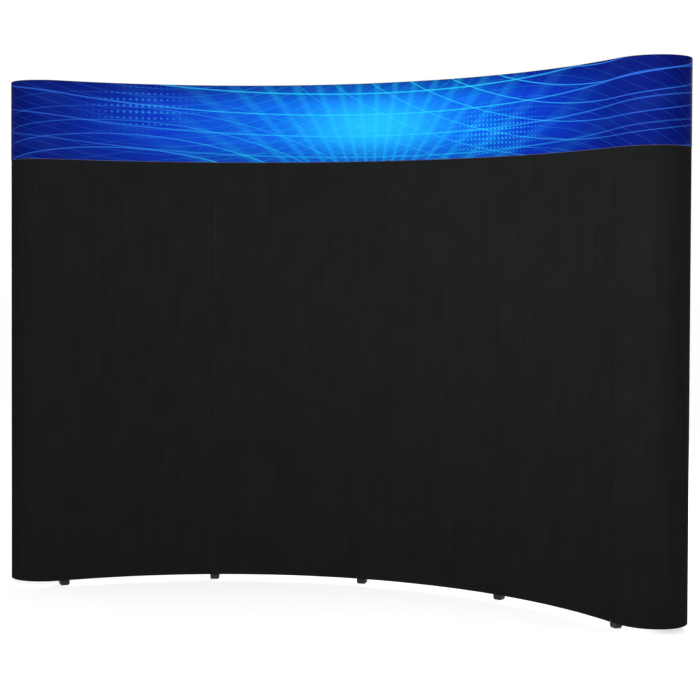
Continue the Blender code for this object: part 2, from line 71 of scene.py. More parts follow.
# Gaps: between pieces that come apart, between panels, and from the fabric's edges to the sheet behind it
FIT = 0.0004
SEAM = 0.0008
SHEET_TRIM = 0.0007
SHEET_DROP = 0.0003
GLUE = 0.00005

# What holds the panels: magnet strips, hangers with a ledge at each end, and the rounded ends' tabs
MAGNET_INSET = 0.003
MAGNET_MARGIN = 0.030
HANGER_HEIGHT = 0.022
HANGER_THICK = 0.002
HANGER_DROP = 0.003
HANGER_SHORT = 0.034
TAB_WIDTH = 0.008
TAB_REACH = 0.005
TAB_THICK = 0.003

# The lattice: a hub's pins and slots, how far its tubes lie from its middle, the tubes' ends, and the feet
PIN_PLACE = 0.0185
PIN_RADIUS = 0.0015
SLOT_DEPTH = 0.0135
TUBE_SHIFT = 0.006
TUBE_WALL = 0.0008
PLUG = 0.030
FOOT_WIDTH = 0.042
FOOT_DEPTH = 0.030
FOOT_CORNER = 0.006

# The locking arms, and the lugs and pins beside the hubs that carry them
LUG_START = 0.008
LUG_THICK = 0.004
ARM_SIDE = LUG_START + LUG_THICK + FIT
ARM_THICK = 0.005
ARM_HALF = 0.006
ARM_PIN_START = 0.010
ARM_PIN_REACH = 0.009
ARM_PIN_RADIUS = 0.003

# Points along the curves, and the angle past which an edge is drawn sharp
PANEL_POINTS = 65
CAP_POINTS = 89
SHARP_ANGLE = math.radians(30)

WORLD_LIGHT = 0.44
FLOOR_GLOW = 0.60


def linear(code):
    """A colour from its sRGB hex code, such as 1F201F, as linear red, green and blue."""
    values = np.array([int(code[k:k + 2], 16) for k in (0, 2, 4)]) / 255
    return tuple(np.where(values <= 0.04045, values / 12.92, ((values + 0.055) / 1.055) ** 2.4).tolist())


# Settings

def length(name, default, description):
    return bpy.props.FloatProperty(
        name=name, description=description, default=default, min=0.0, unit="LENGTH", precision=4
    )


def colour(name, code, description):
    return bpy.props.FloatVectorProperty(
        name=name, description=description, default=linear(code), min=0.0, max=1.0, size=3, subtype="COLOR"
    )


class DisplayWallSizes(bpy.types.PropertyGroup):
    """The sizes that the pieces are made from."""
    height: length("Height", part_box("front_panel_1")[1].z, "Top of the panels above the floor")
    floor_gap: length("Floor gap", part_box("front_panel_1")[0].z, "Lower edge of the panels above the floor")
    curve_radius: length("Curve radius", 1.753, "Radius of the panels' front in plan")
    panel_width: length("Panel width", 0.678, "Width of one panel, measured along the curve")
    wall_depth: length("Wall depth", 0.305, "Depth of the rounded ends, from front to back")
    panel_thick: length("Panel thickness", 0.0016, "Fabric and backing together")
    fabric_thick: length("Fabric thickness", 0.0006, "The looped fabric alone")
    magnet_thick: length("Magnet strip thickness", 0.0014, "Thickness of the strips on the panels' backs")
    magnet_width: length("Magnet strip width", 0.013, "Width of the strips on the panels' backs")
    header_low: length("Header's lower edge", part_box("header_section_1")[0].z, "Above the floor")
    header_top: length("Header's upper edge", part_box("header_section_1")[1].z, "Above the floor")
    header_thick: length("Header thickness", 0.001, "Thickness of the printed band")
    hook_width: length("Hook tape width", 0.025, "Width of the strips of hook tape on the header's back")
    bar_width: length("Bar width", 0.030, "Width of a channel bar")
    bar_depth: length("Bar depth", 0.008, "Depth of a channel bar")
    bar_wall: length("Bar wall", 0.0015, "Wall of a channel bar")
    bar_low: length("Bar foot", 0.030, "Foot of the bars above the floor")
    bar_top: length("Bar top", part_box("front_channel_bar_1")[1].z, "Top of the bars above the floor")
    hub_across: length("Hub width", 0.052, "Width of a hub over its flats")
    hub_depth: length("Hub depth", 0.020, "Depth of a hub, from front to back")
    tube_radius: length("Tube radius", 0.0055, "Outer radius of the scissor tubes")
    foot_height: length("Foot height", 0.024, "Height of the feet under the lowest hubs")


class DisplayWallColours(bpy.types.PropertyGroup):
    """The main colours of the finishes."""
    fabric: colour("Fabric", "1F2120", "Looped fabric of the panels and ends")
    backing: colour("Backing", "3A3C3E", "Stiff sheet behind the fabric")
    header_end: colour("Header's ends", "041168", "Navy of the band's two ends")
    header_field: colour("Header's field", "0636BE", "Royal blue between the ends and the middle")
    header_middle: colour("Header's middle", "0C72EA", "Azure of the band's middle")
    header_glow: colour("Header's glow", "2AE0FF", "Cyan of the rings, rays and dots")
    header_line: colour("Header's lines", "3A80FF", "Light blue that the rings turn to at both ends")
    header_trim: colour("Header's trim", "56525E", "Trim line along the header's lower edge")
    film: colour("Header's back", "D6D6D2", "White film behind the print")
    hooks: colour("Hook tape", "161617", "Strips that hold the header on the fabric")
    tube: colour("Tubes", "C9CBCD", "Anodised aluminium of the tubes")
    bar: colour("Bars", "BFC1C3", "Anodised aluminium of the channel bars")
    nylon: colour("Nylon", "121213", "Moulded hubs, feet, arms and hangers")
    magnet: colour("Magnet strip", "171514", "Flexible magnet strip")
    steel: colour("Steel", "B9B9B6", "Zinc-plated pins and rivets")
    floor: colour("Floor", "F0F0EF", "Plain studio floor")


def measures():
    """The set sizes, with those that follow from them."""
    s = bpy.context.scene.display_wall_sizes
    m = SimpleNamespace(**{key: getattr(s, key) for key in DisplayWallSizes.__annotations__})
    m.bay_angle = m.panel_width / m.curve_radius
    m.bar_front = m.curve_radius + m.panel_thick + m.magnet_thick + FIT
    m.hub_radius = m.bar_front + m.bar_depth + FIT + m.hub_depth / 2
    m.back_offset = m.wall_depth - 2 * (m.hub_radius - m.curve_radius)
    m.low_level = m.foot_height + m.hub_across / 2 - 0.002
    m.high_level = m.height - 0.012 - m.hub_across / 2
    m.row_height = (m.high_level - m.low_level) / ROWS
    m.arm_length = m.back_offset - m.hub_depth - 2 * ARM_PIN_REACH
    return m


def column_angle(m, column):
    return (column - BAYS / 2) * m.bay_angle


# Surfaces, as dicts of points, faces, uv and the number of a material

def skin(points, around=False, ends=False, uv=None, material=0):
    """Faces over a grid of points, rows along a piece and columns round it.

    Face (i, j) joins points (i, j), (i, j+1), (i+1, j+1) and (i+1, j). With around the last column meets the
    first, and uv then has one column more than points. With ends the first and last rows are filled.
    """
    points = np.asarray(points, float)
    rows, columns = points.shape[:2]
    i, j = np.meshgrid(np.arange(rows - 1), np.arange(columns if around else columns - 1), indexing="ij")
    corners = ((i, j), (i, j + 1), (i + 1, j + 1), (i + 1, j))
    faces = np.stack([a * columns + b % columns for a, b in corners], -1).reshape(-1, 4).tolist()
    if uv is None:
        uv = np.zeros((rows, columns + 1, 2))
    places = np.stack([uv[a, b] for a, b in corners], 2).reshape(-1, 2)
    if ends:
        faces += [list(range(columns))[::-1], list(range((rows - 1) * columns, rows * columns))]
        places = np.concatenate([places, uv[0, :columns][::-1], uv[-1, :columns]])
    return {"points": points.reshape(-1, 3), "faces": faces, "uv": places, "material": material}


def flipped(shape):
    """A surface turned face about."""
    faces = [face[::-1] for face in shape["faces"]]
    ends = np.cumsum([len(face) for face in faces])
    order = np.concatenate([np.arange(end - 1, end - len(face) - 1, -1) for face, end in zip(faces, ends)])
    return {**shape, "faces": faces, "uv": shape["uv"][order]}


def placed(shape, matrix):
    """A surface moved by a 4 by 4 matrix, turned face about where that mirrors it."""
    matrix = np.array(matrix, float)
    moved = {**shape, "points": shape["points"] @ matrix[:3, :3].T + matrix[:3, 3]}
    return moved if np.linalg.det(matrix[:3, :3]) > 0 else flipped(moved)


def facing_out(shape):
    """A closed surface, turned face about if the sum of a . (b x c) over its triangles is negative."""
    fans = np.array([(f[0], f[k], f[k + 1]) for f in shape["faces"] for k in range(1, len(f) - 1)])
    a, b, c = shape["points"][fans].transpose(1, 0, 2)
    return shape if (a * np.cross(b, c)).sum() >= 0 else flipped(shape)


def make_piece(name, shapes, finish_names, body, node=None):
    """One mesh object from closed surfaces, which rides on a body and may stand for a node.

    A surface's material number counts along the finishes named.
    """
    shapes = [facing_out(shape) for shape in shapes]
    starts = np.cumsum([0] + [len(shape["points"]) for shape in shapes[:-1]])
    faces = [[k + start for k in face] for shape, start in zip(shapes, starts) for face in shape["faces"]]
    mesh = bpy.data.meshes.new(name)
    mesh.from_pydata(np.concatenate([shape["points"] for shape in shapes]).tolist(), [], faces)
    for finish in finish_names.split():
        mesh.materials.append(finishes()[finish])
    numbers = np.concatenate([np.full(len(shape["faces"]), shape["material"]) for shape in shapes])
    mesh.polygons.foreach_set("material_index", numbers.astype(np.int32))
    places = np.concatenate([shape["uv"] for shape in shapes])
    mesh.uv_layers.new(name="place").uv.foreach_set("vector", places.astype(np.float32).ravel())
    mesh.shade_smooth()
    mesh.set_sharp_from_angle(angle=SHARP_ANGLE)
    mesh.update()
    piece = bpy.data.objects.new(name, mesh)
    bpy.context.scene.collection.objects.link(piece)
    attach(piece, body)
    if node:
        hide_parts(node)
    return piece


# Plan curves

def arc_place(m, angle, radius):
    """Plan points at angles and radii: x = r sin a and y = r cos a, less the radius of the hub axes."""
    return np.stack([radius * np.sin(angle), radius * np.cos(angle) - m.hub_radius], -1)


def column_place(m, column, height=0.0):
    """The frame on a column's front hub axis: X along the wall, Y out of its back and Z up."""
    angle = column_angle(m, column)
    x, y = arc_place(m, angle, m.hub_radius)
    return Matrix.Translation((x, y, height)) @ Matrix.Rotation(-angle, 4, "Z")


def end_place(m, side):
    """The frame on an outer column's front hub axis, with its X away from the wall's middle."""
    return column_place(m, BAYS if side > 0 else 0) @ Matrix.Diagonal((side, 1, 1, 1))


def rear_mirror(m):
    """Mirrors front and rear in a column's frame, about half way between its hubs."""
    return Matrix.Translation((0, m.back_offset, 0)) @ Matrix.Diagonal((1, -1, 1, 1))


def panel_path(m, low_x, high_x, stations=PANEL_POINTS):
    """A sheet's plan line at any outset towards the viewer, and the length along it from the wall's middle.

    The angle goes evenly between those at which the arc meets the two edges, x = r sin a, so that both edges
    run straight back whatever the radius.
    """
    share = np.linspace(0, 1, stations)

    def angles(radius):
        start, end = math.asin(low_x / radius), math.asin(high_x / radius)
        return start + (end - start) * share

    def at(outset):
        radius = m.curve_radius - outset
        return arc_place(m, angles(radius), radius)

    return at, m.curve_radius * angles(m.curve_radius)


def cap_path(m, side, trim=0.0):
    """The plan line round an end at any outset, and the length along it from the wall's middle.

    The turn is pi times 0.52 of u plus 0.48 of (1 - cos(pi u)) / 2, and the line is the running sum of its
    cosine and sine, scaled to the wall's depth. A flat leads up to it from the seam, and one ends it over the
    rear bar. A trim shortens both flats.
    """
    even_share, flat, back_flat = 0.52, 0.016, 0.0015
    u = np.linspace(0, 1, CAP_POINTS)
    turn = math.pi * (even_share * u + (1 - even_share) * (1 - np.cos(math.pi * u)) / 2)
    middle = (turn[1:] + turn[:-1]) / 2
    bend = np.concatenate([[[0, 0]], np.stack([np.cumsum(np.cos(middle)), np.cumsum(np.sin(middle))], -1)])
    bend = bend * m.wall_depth / bend[-1, 1] + [flat, m.curve_radius - m.hub_radius]
    outward = np.stack([np.sin(turn), -np.cos(turn)], -1)
    angle = column_angle(m, BAYS)
    place = np.array(end_place(m, side))

    def at(outset):
        line = bend + outward * outset
        start = (SEAM / 2 + trim + outset * math.sin(angle)) / math.cos(angle)
        line = np.concatenate([[[start, line[0, 1]]], line, [[back_flat + trim, line[-1, 1]]]])
        return line @ place[:2, :2].T + place[:2, 3]

    steps = np.linalg.norm(np.diff(at(0.0), axis=0), axis=1)
    return at, side * (m.curve_radius * angle + np.concatenate([[0], np.cumsum(steps)]))


def panel_edges(m, bay):
    """The places along X of a panel's two edges."""
    low, high = (m.curve_radius * math.sin(column_angle(m, column)) for column in (bay, bay + 1))
    return low + SEAM / 2, high - SEAM / 2


def cover_path(m, name, trim=0.0):
    """The plan line of a panel, by its number, or of an end, by its side, with a trim off both its edges."""
    if name in SIDES:
        return cap_path(m, SIDES[name], trim)
    low, high = panel_edges(m, int(name) - 1)
    return panel_path(m, low + trim, high - trim)


def shortened(path):
    """A plan line without its first and last points."""
    at, along = path
    return (lambda outset: at(outset)[1:-1]), along[1:-1]


def band(path, loop, material=0):
    """A section of outsets and heights, carried along a plan line, with uv the length along and the height.

    A height is one number, or one for each point of the line.
    """
    at, along = path
    lines = np.stack([at(outset) for outset, _ in loop], 1)
    heights = np.stack([np.broadcast_to(height, along.shape) for _, height in loop], 1)
    points = np.concatenate([lines, heights[..., None]], -1)
    uv = np.stack([np.broadcast_to(along[:, None], heights.shape), heights], -1)
    return skin(points, True, True, np.concatenate([uv, uv[:, :1]], 1), material)


def edged(outer, inner, low, high, edge=0.0002):
    """A thin upright section between two outsets, with its corners cut by edge."""
    return [
        (outer, low + edge), (outer, high - edge), (outer - edge, high), (inner + edge, high),
        (inner, high - edge), (inner, low + edge), (inner + edge, low), (outer - edge, low),
    ]


# Turned, straight and flat shapes

def turned(start, end, profile, sides=20, material=0):
    """A round body on the way from start to end: each (distance along, radius) of the profile is a circle."""
    start, end = Vector(start), Vector(end)
    axis = (end - start).normalized()
    side = axis.orthogonal().normalized()
    other = axis.cross(side)
    theta = np.linspace(0, math.tau, sides + 1)
    profile = np.array(profile, float)
    ring = np.outer(np.cos(theta[:-1]), side) + np.outer(np.sin(theta[:-1]), other)
    points = np.array(start) + profile[:, :1, None] * np.array(axis) + profile[:, 1:, None] * ring
    uv = np.stack(np.broadcast_arrays(theta * profile[:, 1].max(), profile[:, :1]), -1)
    return skin(points, True, True, uv, material)


def inset(outline, amount):
    """A closed outline moved in: a corner goes by the sum of its edges' normals, over 1 plus their dot."""
    edges = np.roll(outline, -1, 0) - outline
    normals = np.stack([-edges[:, 1], edges[:, 0]], -1) / np.linalg.norm(edges, axis=1)[:, None]
    before = np.roll(normals, 1, 0)
    return outline + amount * (normals + before) / (1 + (normals * before).sum(1))[:, None]


def slab(outline, low, high, chamfer=0.0005, holes=(), pockets=(), material=0):
    """A flat body from an outline that runs anticlockwise, between two heights, with cut edges.

    Its side is a skin between rings of the outline, and each face is the outline filled round its openings.
    holes are outlines that go right through. pockets are (outline, depth), sunk from high, or from low where
    the depth is negative.
    """
    outline = np.array(outline, float)
    points, faces = [], []

    def ring(plan, height):
        start = sum(map(len, points))
        points.append(np.column_stack([plan, np.full(len(plan), height)]))
        return np.arange(start, start + len(plan))

    def wall(first, second):
        faces.extend(np.stack([first, np.roll(first, -1), np.roll(second, -1), second], -1).tolist())

    def filled(loops, up):
        plan = np.concatenate(points)[:, :2]
        triangles = tessellate_polygon([[Vector((*plan[k], 0)) for k in loop] for loop in loops])
        corners = np.concatenate(loops)[np.array(triangles)]
        a, b, c = plan[corners].transpose(1, 0, 2)
        turn = (b - a)[:, 0] * (c - a)[:, 1] - (b - a)[:, 1] * (c - a)[:, 0]
        faces.extend(np.where(((turn > 0) == up)[:, None], corners, corners[:, ::-1]).tolist())

    cut = inset(outline, chamfer)
    rings = ((cut, low), (outline, low + chamfer), (outline, high - chamfer), (cut, high))
    rows = [ring(plan, height) for plan, height in rings]
    for below, above in zip(rows, rows[1:]):
        wall(below, above)
    loops = {False: [rows[0]], True: [rows[-1]]}
    for hole in holes:
        below, above = ring(hole, low), ring(hole, high)
        wall(above, below)
        loops[False].append(below)
        loops[True].append(above)
    for plan, depth in pockets:
        up = depth > 0
        face = high if up else low
        mouth, floor = ring(plan, face), ring(plan, face - depth)
        wall(*((mouth, floor) if up else (floor, mouth)))
        filled([floor], up)
        loops[up].append(mouth)
    for up in (True, False):
        filled(loops[up], up)
    flat = np.concatenate(points)
    return {"points": flat, "faces": faces, "uv": flat[np.concatenate(faces)][:, :2], "material": material}


def circle(x, y, radius, sides=20):
    theta = np.arange(sides) * math.tau / sides
    return np.stack([x + radius * np.cos(theta), y + radius * np.sin(theta)], -1)


def block(low, high, radius=0.0):
    """A rectangle between two corners, anticlockwise, with its corners rounded where a radius is given."""
    if not radius:
        return np.array([low, (high[0], low[1]), high, (low[0], high[1])], float)
    (left, bottom), (right, top) = np.add(low, radius), np.subtract(high, radius)
    centres = np.array([(right, top), (left, top), (left, bottom), (right, bottom)])
    theta = np.radians([0, 30, 60, 90]) + np.arange(4)[:, None] * math.pi / 2
    return (centres[:, None] + radius * np.stack([np.cos(theta), np.sin(theta)], -1)).reshape(-1, 2)


# A slab's X, Y and Z become the wall's X, its height and its front-to-back way
UPRIGHT = Matrix(((1, 0, 0, 0), (0, 0, 1, 0), (0, 1, 0, 0), (0, 0, 0, 1)))
# A slab's X, Y and Z become the wall's front-to-back way, its height and its X
SIDEWAYS = Matrix(((0, 0, 1, 0), (1, 0, 0, 0), (0, 1, 0, 0), (0, 0, 0, 1)))


# Materials

def add_node(tree, kind, inputs=(), output=0, stops=(), **settings):
    """Adds a shader node with its settings, fills its inputs with values or links, and returns one output.

    A colour ramp's stops are pairs of a position and a grey or a colour.
    """
    made = tree.nodes.new("ShaderNode" + kind)
    for key, value in settings.items():
        setattr(made, key, value)
    for key, value in dict(inputs).items():
        if isinstance(value, bpy.types.NodeSocket):
            tree.links.new(value, made.inputs[key])
        else:
            made.inputs[key].default_value = value
    for index, (position, value) in enumerate(stops):
        elements = made.color_ramp.elements
        element = elements[index] if index < len(elements) else elements.new(position)
        element.position = position
        element.color = (*value, 1.0) if isinstance(value, tuple) else (value, value, value, 1.0)
    return made.outputs[output]


def new_material(name, **settings):
    """A material with one Principled shader, whose plain values are set on its own inputs."""
    made = bpy.data.materials.new(name)
    made.use_nodes = True
    for key, value in settings.items():
        made.node_tree.nodes["Principled BSDF"].inputs[key.replace("_", " ")].default_value = value
    return made, made.node_tree


def linked(made, **patterns):
    """The material, with patterns linked to its shader's inputs."""
    for key, value in patterns.items():
        shader = made.node_tree.nodes["Principled BSDF"]
        made.node_tree.links.new(value, shader.inputs[key.replace("_", " ")])
    return made


def two_shades(tree, pattern, tone, first, last, start=0.3, end=0.7):
    """A tone that turns from one share of itself to another while a pattern goes from start to end."""
    shades = [tuple(part * share for part in tone) for share in (first, last)]
    return add_node(tree, "ValToRGB", {0: pattern}, stops=tuple(zip((start, end), shades)))


def looped_fabric(c):
    """Brushed nylon loop fabric: black and quite dull, a little uneven where its nap lies differently, with
    painted shade in the gaps between its loops.
    """
    made, tree = new_material("looped nylon fabric", Roughness=1.0, Specular_IOR_Level=0.02)
    place = add_node(tree, "TexCoord", output="Object")
    # The nap lies a little differently over hand-sized patches, of about 110 mm
    nap = add_node(tree, "TexNoise", {"Vector": place, "Scale": 9.0, "Detail": 3.0, "Roughness": 0.55})
    # Real loops are about 0.5 mm apart, and drawn 1.6 mm apart so that they show
    loops = add_node(tree, "TexVoronoi", {"Vector": place, "Scale": 620.0, "Randomness": 0.85})
    # Brushing leaves faint upright strokes, about 17 mm apart and 330 mm long
    up = add_node(tree, "Mapping", {"Vector": place, "Scale": (60.0, 60.0, 3.0)})
    strokes = add_node(tree, "TexNoise", {"Vector": up, "Scale": 1.0, "Detail": 2.0})
    both = add_node(tree, "Math", {0: nap, 1: strokes}, operation="ADD")
    uneven = add_node(tree, "Math", {0: both, 1: 0.5}, operation="MULTIPLY")
    tone = two_shades(tree, uneven, c.fabric, 0.86, 1.14, 0.32, 0.68)
    # Painted shade: the gaps between the loops, which the bump sinks, are painted darker
    loop_gap_shade = add_node(tree, "ValToRGB", {0: loops}, stops=((0.1, 1.0), (0.75, 0.72)))
    tone = add_node(tree, "Mix", {0: 1.0, 6: tone, 7: loop_gap_shade}, 2, data_type="RGBA", blend_type="MULTIPLY")
    bump = add_node(tree, "Bump", {"Height": loops, "Strength": 0.6, "Distance": 0.0006}, invert=True)
    return linked(made, Base_Color=tone, Normal=bump)


def rigid_pvc(c):
    """Calendered rigid PVC: a dark grey sheet with a low satin gloss and faint streaks along its height."""
    made, tree = new_material("calendered rigid PVC", Roughness=0.42, IOR=1.54)
    place = add_node(tree, "TexCoord", output="Object")
    # The rollers leave streaks about 45 mm wide and 700 mm long
    along = add_node(tree, "Mapping", {"Vector": place, "Scale": (22.0, 22.0, 1.4)})
    streaks = add_node(tree, "TexNoise", {"Vector": along, "Scale": 1.0, "Detail": 4.0})
    gloss = add_node(tree, "MapRange", {0: streaks, 3: 0.36, 4: 0.5})
    return linked(made, Base_Color=two_shades(tree, streaks, c.backing, 0.88, 1.12), Roughness=gloss)


def magnet_strip_rubber(c):
    """Flexible ferrite magnet strip: brown-black rubber, dull, with fine lines from its extrusion."""
    made, tree = new_material("flexible magnet strip", Roughness=0.6, IOR=1.52)
    place = add_node(tree, "TexCoord", output="UV")
    # The die leaves lines about 1 mm apart and 170 mm long
    lines = add_node(tree, "Mapping", {"Vector": place, "Scale": (900.0, 6.0, 1.0)})
    grain = add_node(tree, "TexNoise", {"Vector": lines, "Scale": 1.0, "Detail": 2.0})
    return linked(made, Base_Color=two_shades(tree, grain, c.magnet, 0.8, 1.2))


def drawn_metal(name, base, rough, line_spacing, uneven):
    """Drawn or extruded metal: satin, with fine lines along its length and a little unevenness in its gloss.

    The uv runs round the piece and along it in metres, and the lines are 200 times as long as they are wide.
    """
    made, tree = new_material(name, Metallic=1.0, Roughness=rough)
    place = add_node(tree, "TexCoord", output="UV")
    scale = 1.0 / line_spacing
    along = add_node(tree, "Mapping", {"Vector": place, "Scale": (scale, scale / 200.0, 1.0)})
    lines = add_node(tree, "TexNoise", {"Vector": along, "Scale": 1.0, "Detail": 3.0})
    # Handling and the anodising bath leave patches of about 70 mm
    place = add_node(tree, "TexCoord", output="Object")
    patches = add_node(tree, "TexNoise", {"Vector": place, "Scale": 14.0})
    both = add_node(tree, "Math", {0: lines, 1: patches}, operation="ADD")
    gloss = add_node(tree, "MapRange", {0: both, 1: 0.7, 2: 1.3, 3: rough - uneven, 4: rough + uneven})
    bump = add_node(tree, "Bump", {"Height": lines, "Strength": 0.15, "Distance": 0.0001})
    tone = two_shades(tree, lines, base, 0.9, 1.05)
    return linked(made, Base_Color=tone, Roughness=gloss, Normal=bump)


def moulded_nylon(c):
    """Injection-moulded nylon: black, with a fine spark-eroded grain and a soft sheen on its edges."""
    made, tree = new_material("moulded black nylon", Roughness=0.46, IOR=1.53, Specular_IOR_Level=0.3)
    place = add_node(tree, "TexCoord", output="Object")
    # Spark-eroded grain of about 0.3 mm, drawn at 0.6 mm so that it shows
    grain = add_node(tree, "TexNoise", {"Vector": place, "Scale": 1600.0, "Detail": 1.0})
    # The gloss changes a little over patches of about 30 mm, where the mould was filled
    patches = add_node(tree, "TexNoise", {"Vector": place, "Scale": 35.0, "Detail": 2.0})
    gloss = add_node(tree, "MapRange", {0: patches, 1: 0.3, 2: 0.7, 3: 0.4, 4: 0.54})
    bump = add_node(tree, "Bump", {"Height": grain, "Strength": 0.35, "Distance": 0.0002})
    tone = two_shades(tree, patches, c.nylon, 0.85, 1.25)
    return linked(made, Base_Color=tone, Roughness=gloss, Normal=bump)


def distance_from(tree, place, x, y, stretch):
    """The length of the way from a point of the header, with its part along the band divided by stretch."""
    moved = {"Vector": place, "Location": (-x / stretch, -y, 0.0), "Scale": (1.0 / stretch, 1.0, 1.0)}
    return add_node(tree, "VectorMath", {0: add_node(tree, "Mapping", moved)}, "Value", operation="LENGTH")


def print_rays(tree, place):
    """Soft rays that fan out from a point below the header's middle and fade towards its ends."""
    seen = add_node(tree, "Mapping", {"Vector": place, "Location": (-0.05, 0.30, 0.0)})
    turn = add_node(tree, "TexGradient", {0: seen}, "Fac", gradient_type="RADIAL")
    phase = add_node(tree, "Math", {0: turn, 1: 46.0 * math.tau}, operation="MULTIPLY")
    waves = add_node(tree, "Math", {0: phase}, operation="SINE")
    rays = add_node(tree, "MapRange", {0: waves, 1: 0.2, 2: 1.0, 3: 0.0, 4: 0.16})
    away = distance_from(tree, place, 0.05, 0.17, 1.0)
    fade = add_node(tree, "MapRange", {0: away, 1: 0.1, 2: 1.2, 3: 1.0, 4: 0.15})
    return add_node(tree, "Math", {0: rays, 1: fade}, operation="MULTIPLY")


def print_rings(tree, place, x, y, stretch, spacing, width, reach, strength):
    """Thin rings about a point, one each spacing, that fade out between half the reach and the reach."""
    away = distance_from(tree, place, x, y, stretch)
    gap = add_node(tree, "Math", {0: away, 1: spacing / 2}, operation="PINGPONG")
    ends = {0: gap, 1: width * 0.2, 2: width, 3: 1.0, 4: 0.0}
    lines = add_node(tree, "MapRange", ends, interpolation_type="SMOOTHSTEP")
    fade = add_node(tree, "MapRange", {0: away, 1: reach * 0.5, 2: reach, 3: strength, 4: 0.0})
    return add_node(tree, "Math", {0: lines, 1: fade}, operation="MULTIPLY")


def print_dots(tree, place, x, y, pitch, reach, strength):
    """Dots on a square grid, whose radius falls evenly from a third of the pitch at a point to nothing."""
    grid = {"Vector": place, "Scale": 1.0 / pitch, "Randomness": 0.0}
    spot = add_node(tree, "TexVoronoi", grid, voronoi_dimensions="2D")
    away = distance_from(tree, place, x, y, 2.4)
    size = add_node(tree, "MapRange", {0: away, 1: 0.0, 2: reach, 3: 0.33, 4: 0.0})
    inside = add_node(tree, "Math", {0: size, 1: spot}, operation="SUBTRACT")
    return add_node(tree, "MapRange", {0: inside, 1: 0.0, 2: 0.06, 3: 0.0, 4: strength})


def printed_laminate(c, low, high):
    """Printed header under a matt laminate: a deep blue field that turns azure in its middle.

    Thin cyan rings, soft rays and fields of dots lie over it. The uv is the length along the band from its
    middle, and the height above the floor, in metres.
    """
    made, tree = new_material("printed matt laminate", Roughness=0.6, Specular_IOR_Level=0.03)
    place = add_node(tree, "TexCoord", output="UV")
    place = add_node(tree, "Mapping", {"Vector": place, "Location": (0.0, -low, 0.0)})
    along = add_node(tree, "SeparateXYZ", {0: place}, "X")
    up = add_node(tree, "SeparateXYZ", {0: place}, "Y")
    # Navy at both ends, royal blue further in, azure in the middle
    share = add_node(tree, "MapRange", {0: along, 1: -1.9, 2: 1.9})
    end, royal, azure = (np.array(tone) for tone in (c.header_end, c.header_field, c.header_middle))
    tones = (
        (0.05, end), (0.14, 0.75 * end + 0.25 * royal), (0.26, royal), (0.36, (royal + azure) / 2),
        (0.46, azure), (0.56, azure), (0.66, (royal + azure) / 2), (0.72, royal),
        (0.84, 0.75 * end + 0.25 * royal), (0.95, end),
    )
    tones = [(position, tuple(tone.tolist())) for position, tone in tones]
    field = add_node(tree, "ValToRGB", {0: share}, stops=tones)
    # The field darkens towards its upper and lower edges
    rise = add_node(tree, "MapRange", {0: up, 1: 0.0, 2: high - low})
    dusk = add_node(tree, "ValToRGB", {0: rise}, stops=((0.0, 0.5), (0.3, 0.0), (0.75, 0.0), (1.0, 0.7)))
    field = add_node(tree, "Mix", {0: dusk, 6: field, 7: (*c.header_end, 1.0)}, 2, data_type="RGBA")
    glow = {0: distance_from(tree, place, 0.05, 0.16, 3.0), 1: 0.0, 2: 0.17, 3: 0.5, 4: 0.0}
    motifs = [
        add_node(tree, "MapRange", glow, interpolation_type="SMOOTHSTEP"),
        print_rays(tree, place),
        print_rings(tree, place, -1.15, -0.62, 1.7, 0.062, 0.0032, 1.00, 0.75),
        print_rings(tree, place, 1.25, 0.86, 1.9, 0.074, 0.0030, 1.10, 0.70),
        print_rings(tree, place, 0.10, 1.35, 3.4, 0.095, 0.0044, 1.55, 0.85),
        print_rings(tree, place, -0.30, -1.10, 2.2, 0.052, 0.0024, 1.45, 0.30),
        print_rings(tree, place, -0.90, 1.70, 1.1, 0.037, 0.0018, 2.60, 0.22),
        print_rings(tree, place, 0.80, -1.30, 1.0, 0.043, 0.0018, 2.40, 0.22),
        print_dots(tree, place, 0.66, 0.11, 0.020, 0.17, 0.45),
        print_dots(tree, place, -1.02, 0.24, 0.028, 0.15, 0.35),
    ]
    # The motifs are cyan in the middle and light blue at both ends
    tones = ((0.16, c.header_line), (0.38, c.header_glow), (0.64, c.header_glow), (0.86, c.header_line))
    light = add_node(tree, "ValToRGB", {0: share}, stops=tones)
    for motif in motifs:
        field = add_node(tree, "Mix", {0: motif, 6: field, 7: light}, 2, data_type="RGBA")
    # A trim line of 2 mm ends the print at its lower edge
    trim = add_node(tree, "MapRange", {0: up, 1: 0.0018, 2: 0.0022, 3: 0.8, 4: 0.0})
    field = add_node(tree, "Mix", {0: trim, 6: field, 7: (*c.header_trim, 1.0)}, 2, data_type="RGBA")
    return linked(made, Base_Color=field)


def polyester_film(c):
    """Polyester film behind the print: white, with a satin gloss that its coating leaves a little cloudy."""
    made, tree = new_material("white polyester film", Roughness=0.38, IOR=1.57)
    place = add_node(tree, "TexCoord", output="Object")
    # The clouds are about 60 mm across
    clouds = add_node(tree, "TexNoise", {"Vector": place, "Scale": 16.0, "Detail": 3.0})
    gloss = add_node(tree, "MapRange", {0: clouds, 3: 0.32, 4: 0.46})
    return linked(made, Base_Color=two_shades(tree, clouds, c.film, 0.94, 1.03), Roughness=gloss)


def hook_tape(c):
    """Woven nylon hook tape: black, with rows of stiff hooks whose crowns are painted paler as a painted
    glint, with painted shade between them.
    """
    made, tree = new_material("woven nylon hook tape", Roughness=0.5, IOR=1.53)
    # The hooks stand in rows 1.6 mm apart
    rows = {"Vector": add_node(tree, "TexCoord", output="UV"), "Scale": 625.0, "Randomness": 0.3}
    hooks = add_node(tree, "TexVoronoi", rows, voronoi_dimensions="2D")
    # Painted glint and shade: the hooks' crowns are painted paler than the tape, and the gaps between them
    # darker
    tone = two_shades(tree, hooks, c.hooks, 2.2, 0.6, 0.15, 0.5)
    bump = add_node(tree, "Bump", {"Height": hooks, "Strength": 0.7, "Distance": 0.0008}, invert=True)
    return linked(made, Base_Color=tone, Normal=bump)


FINISHES = {}


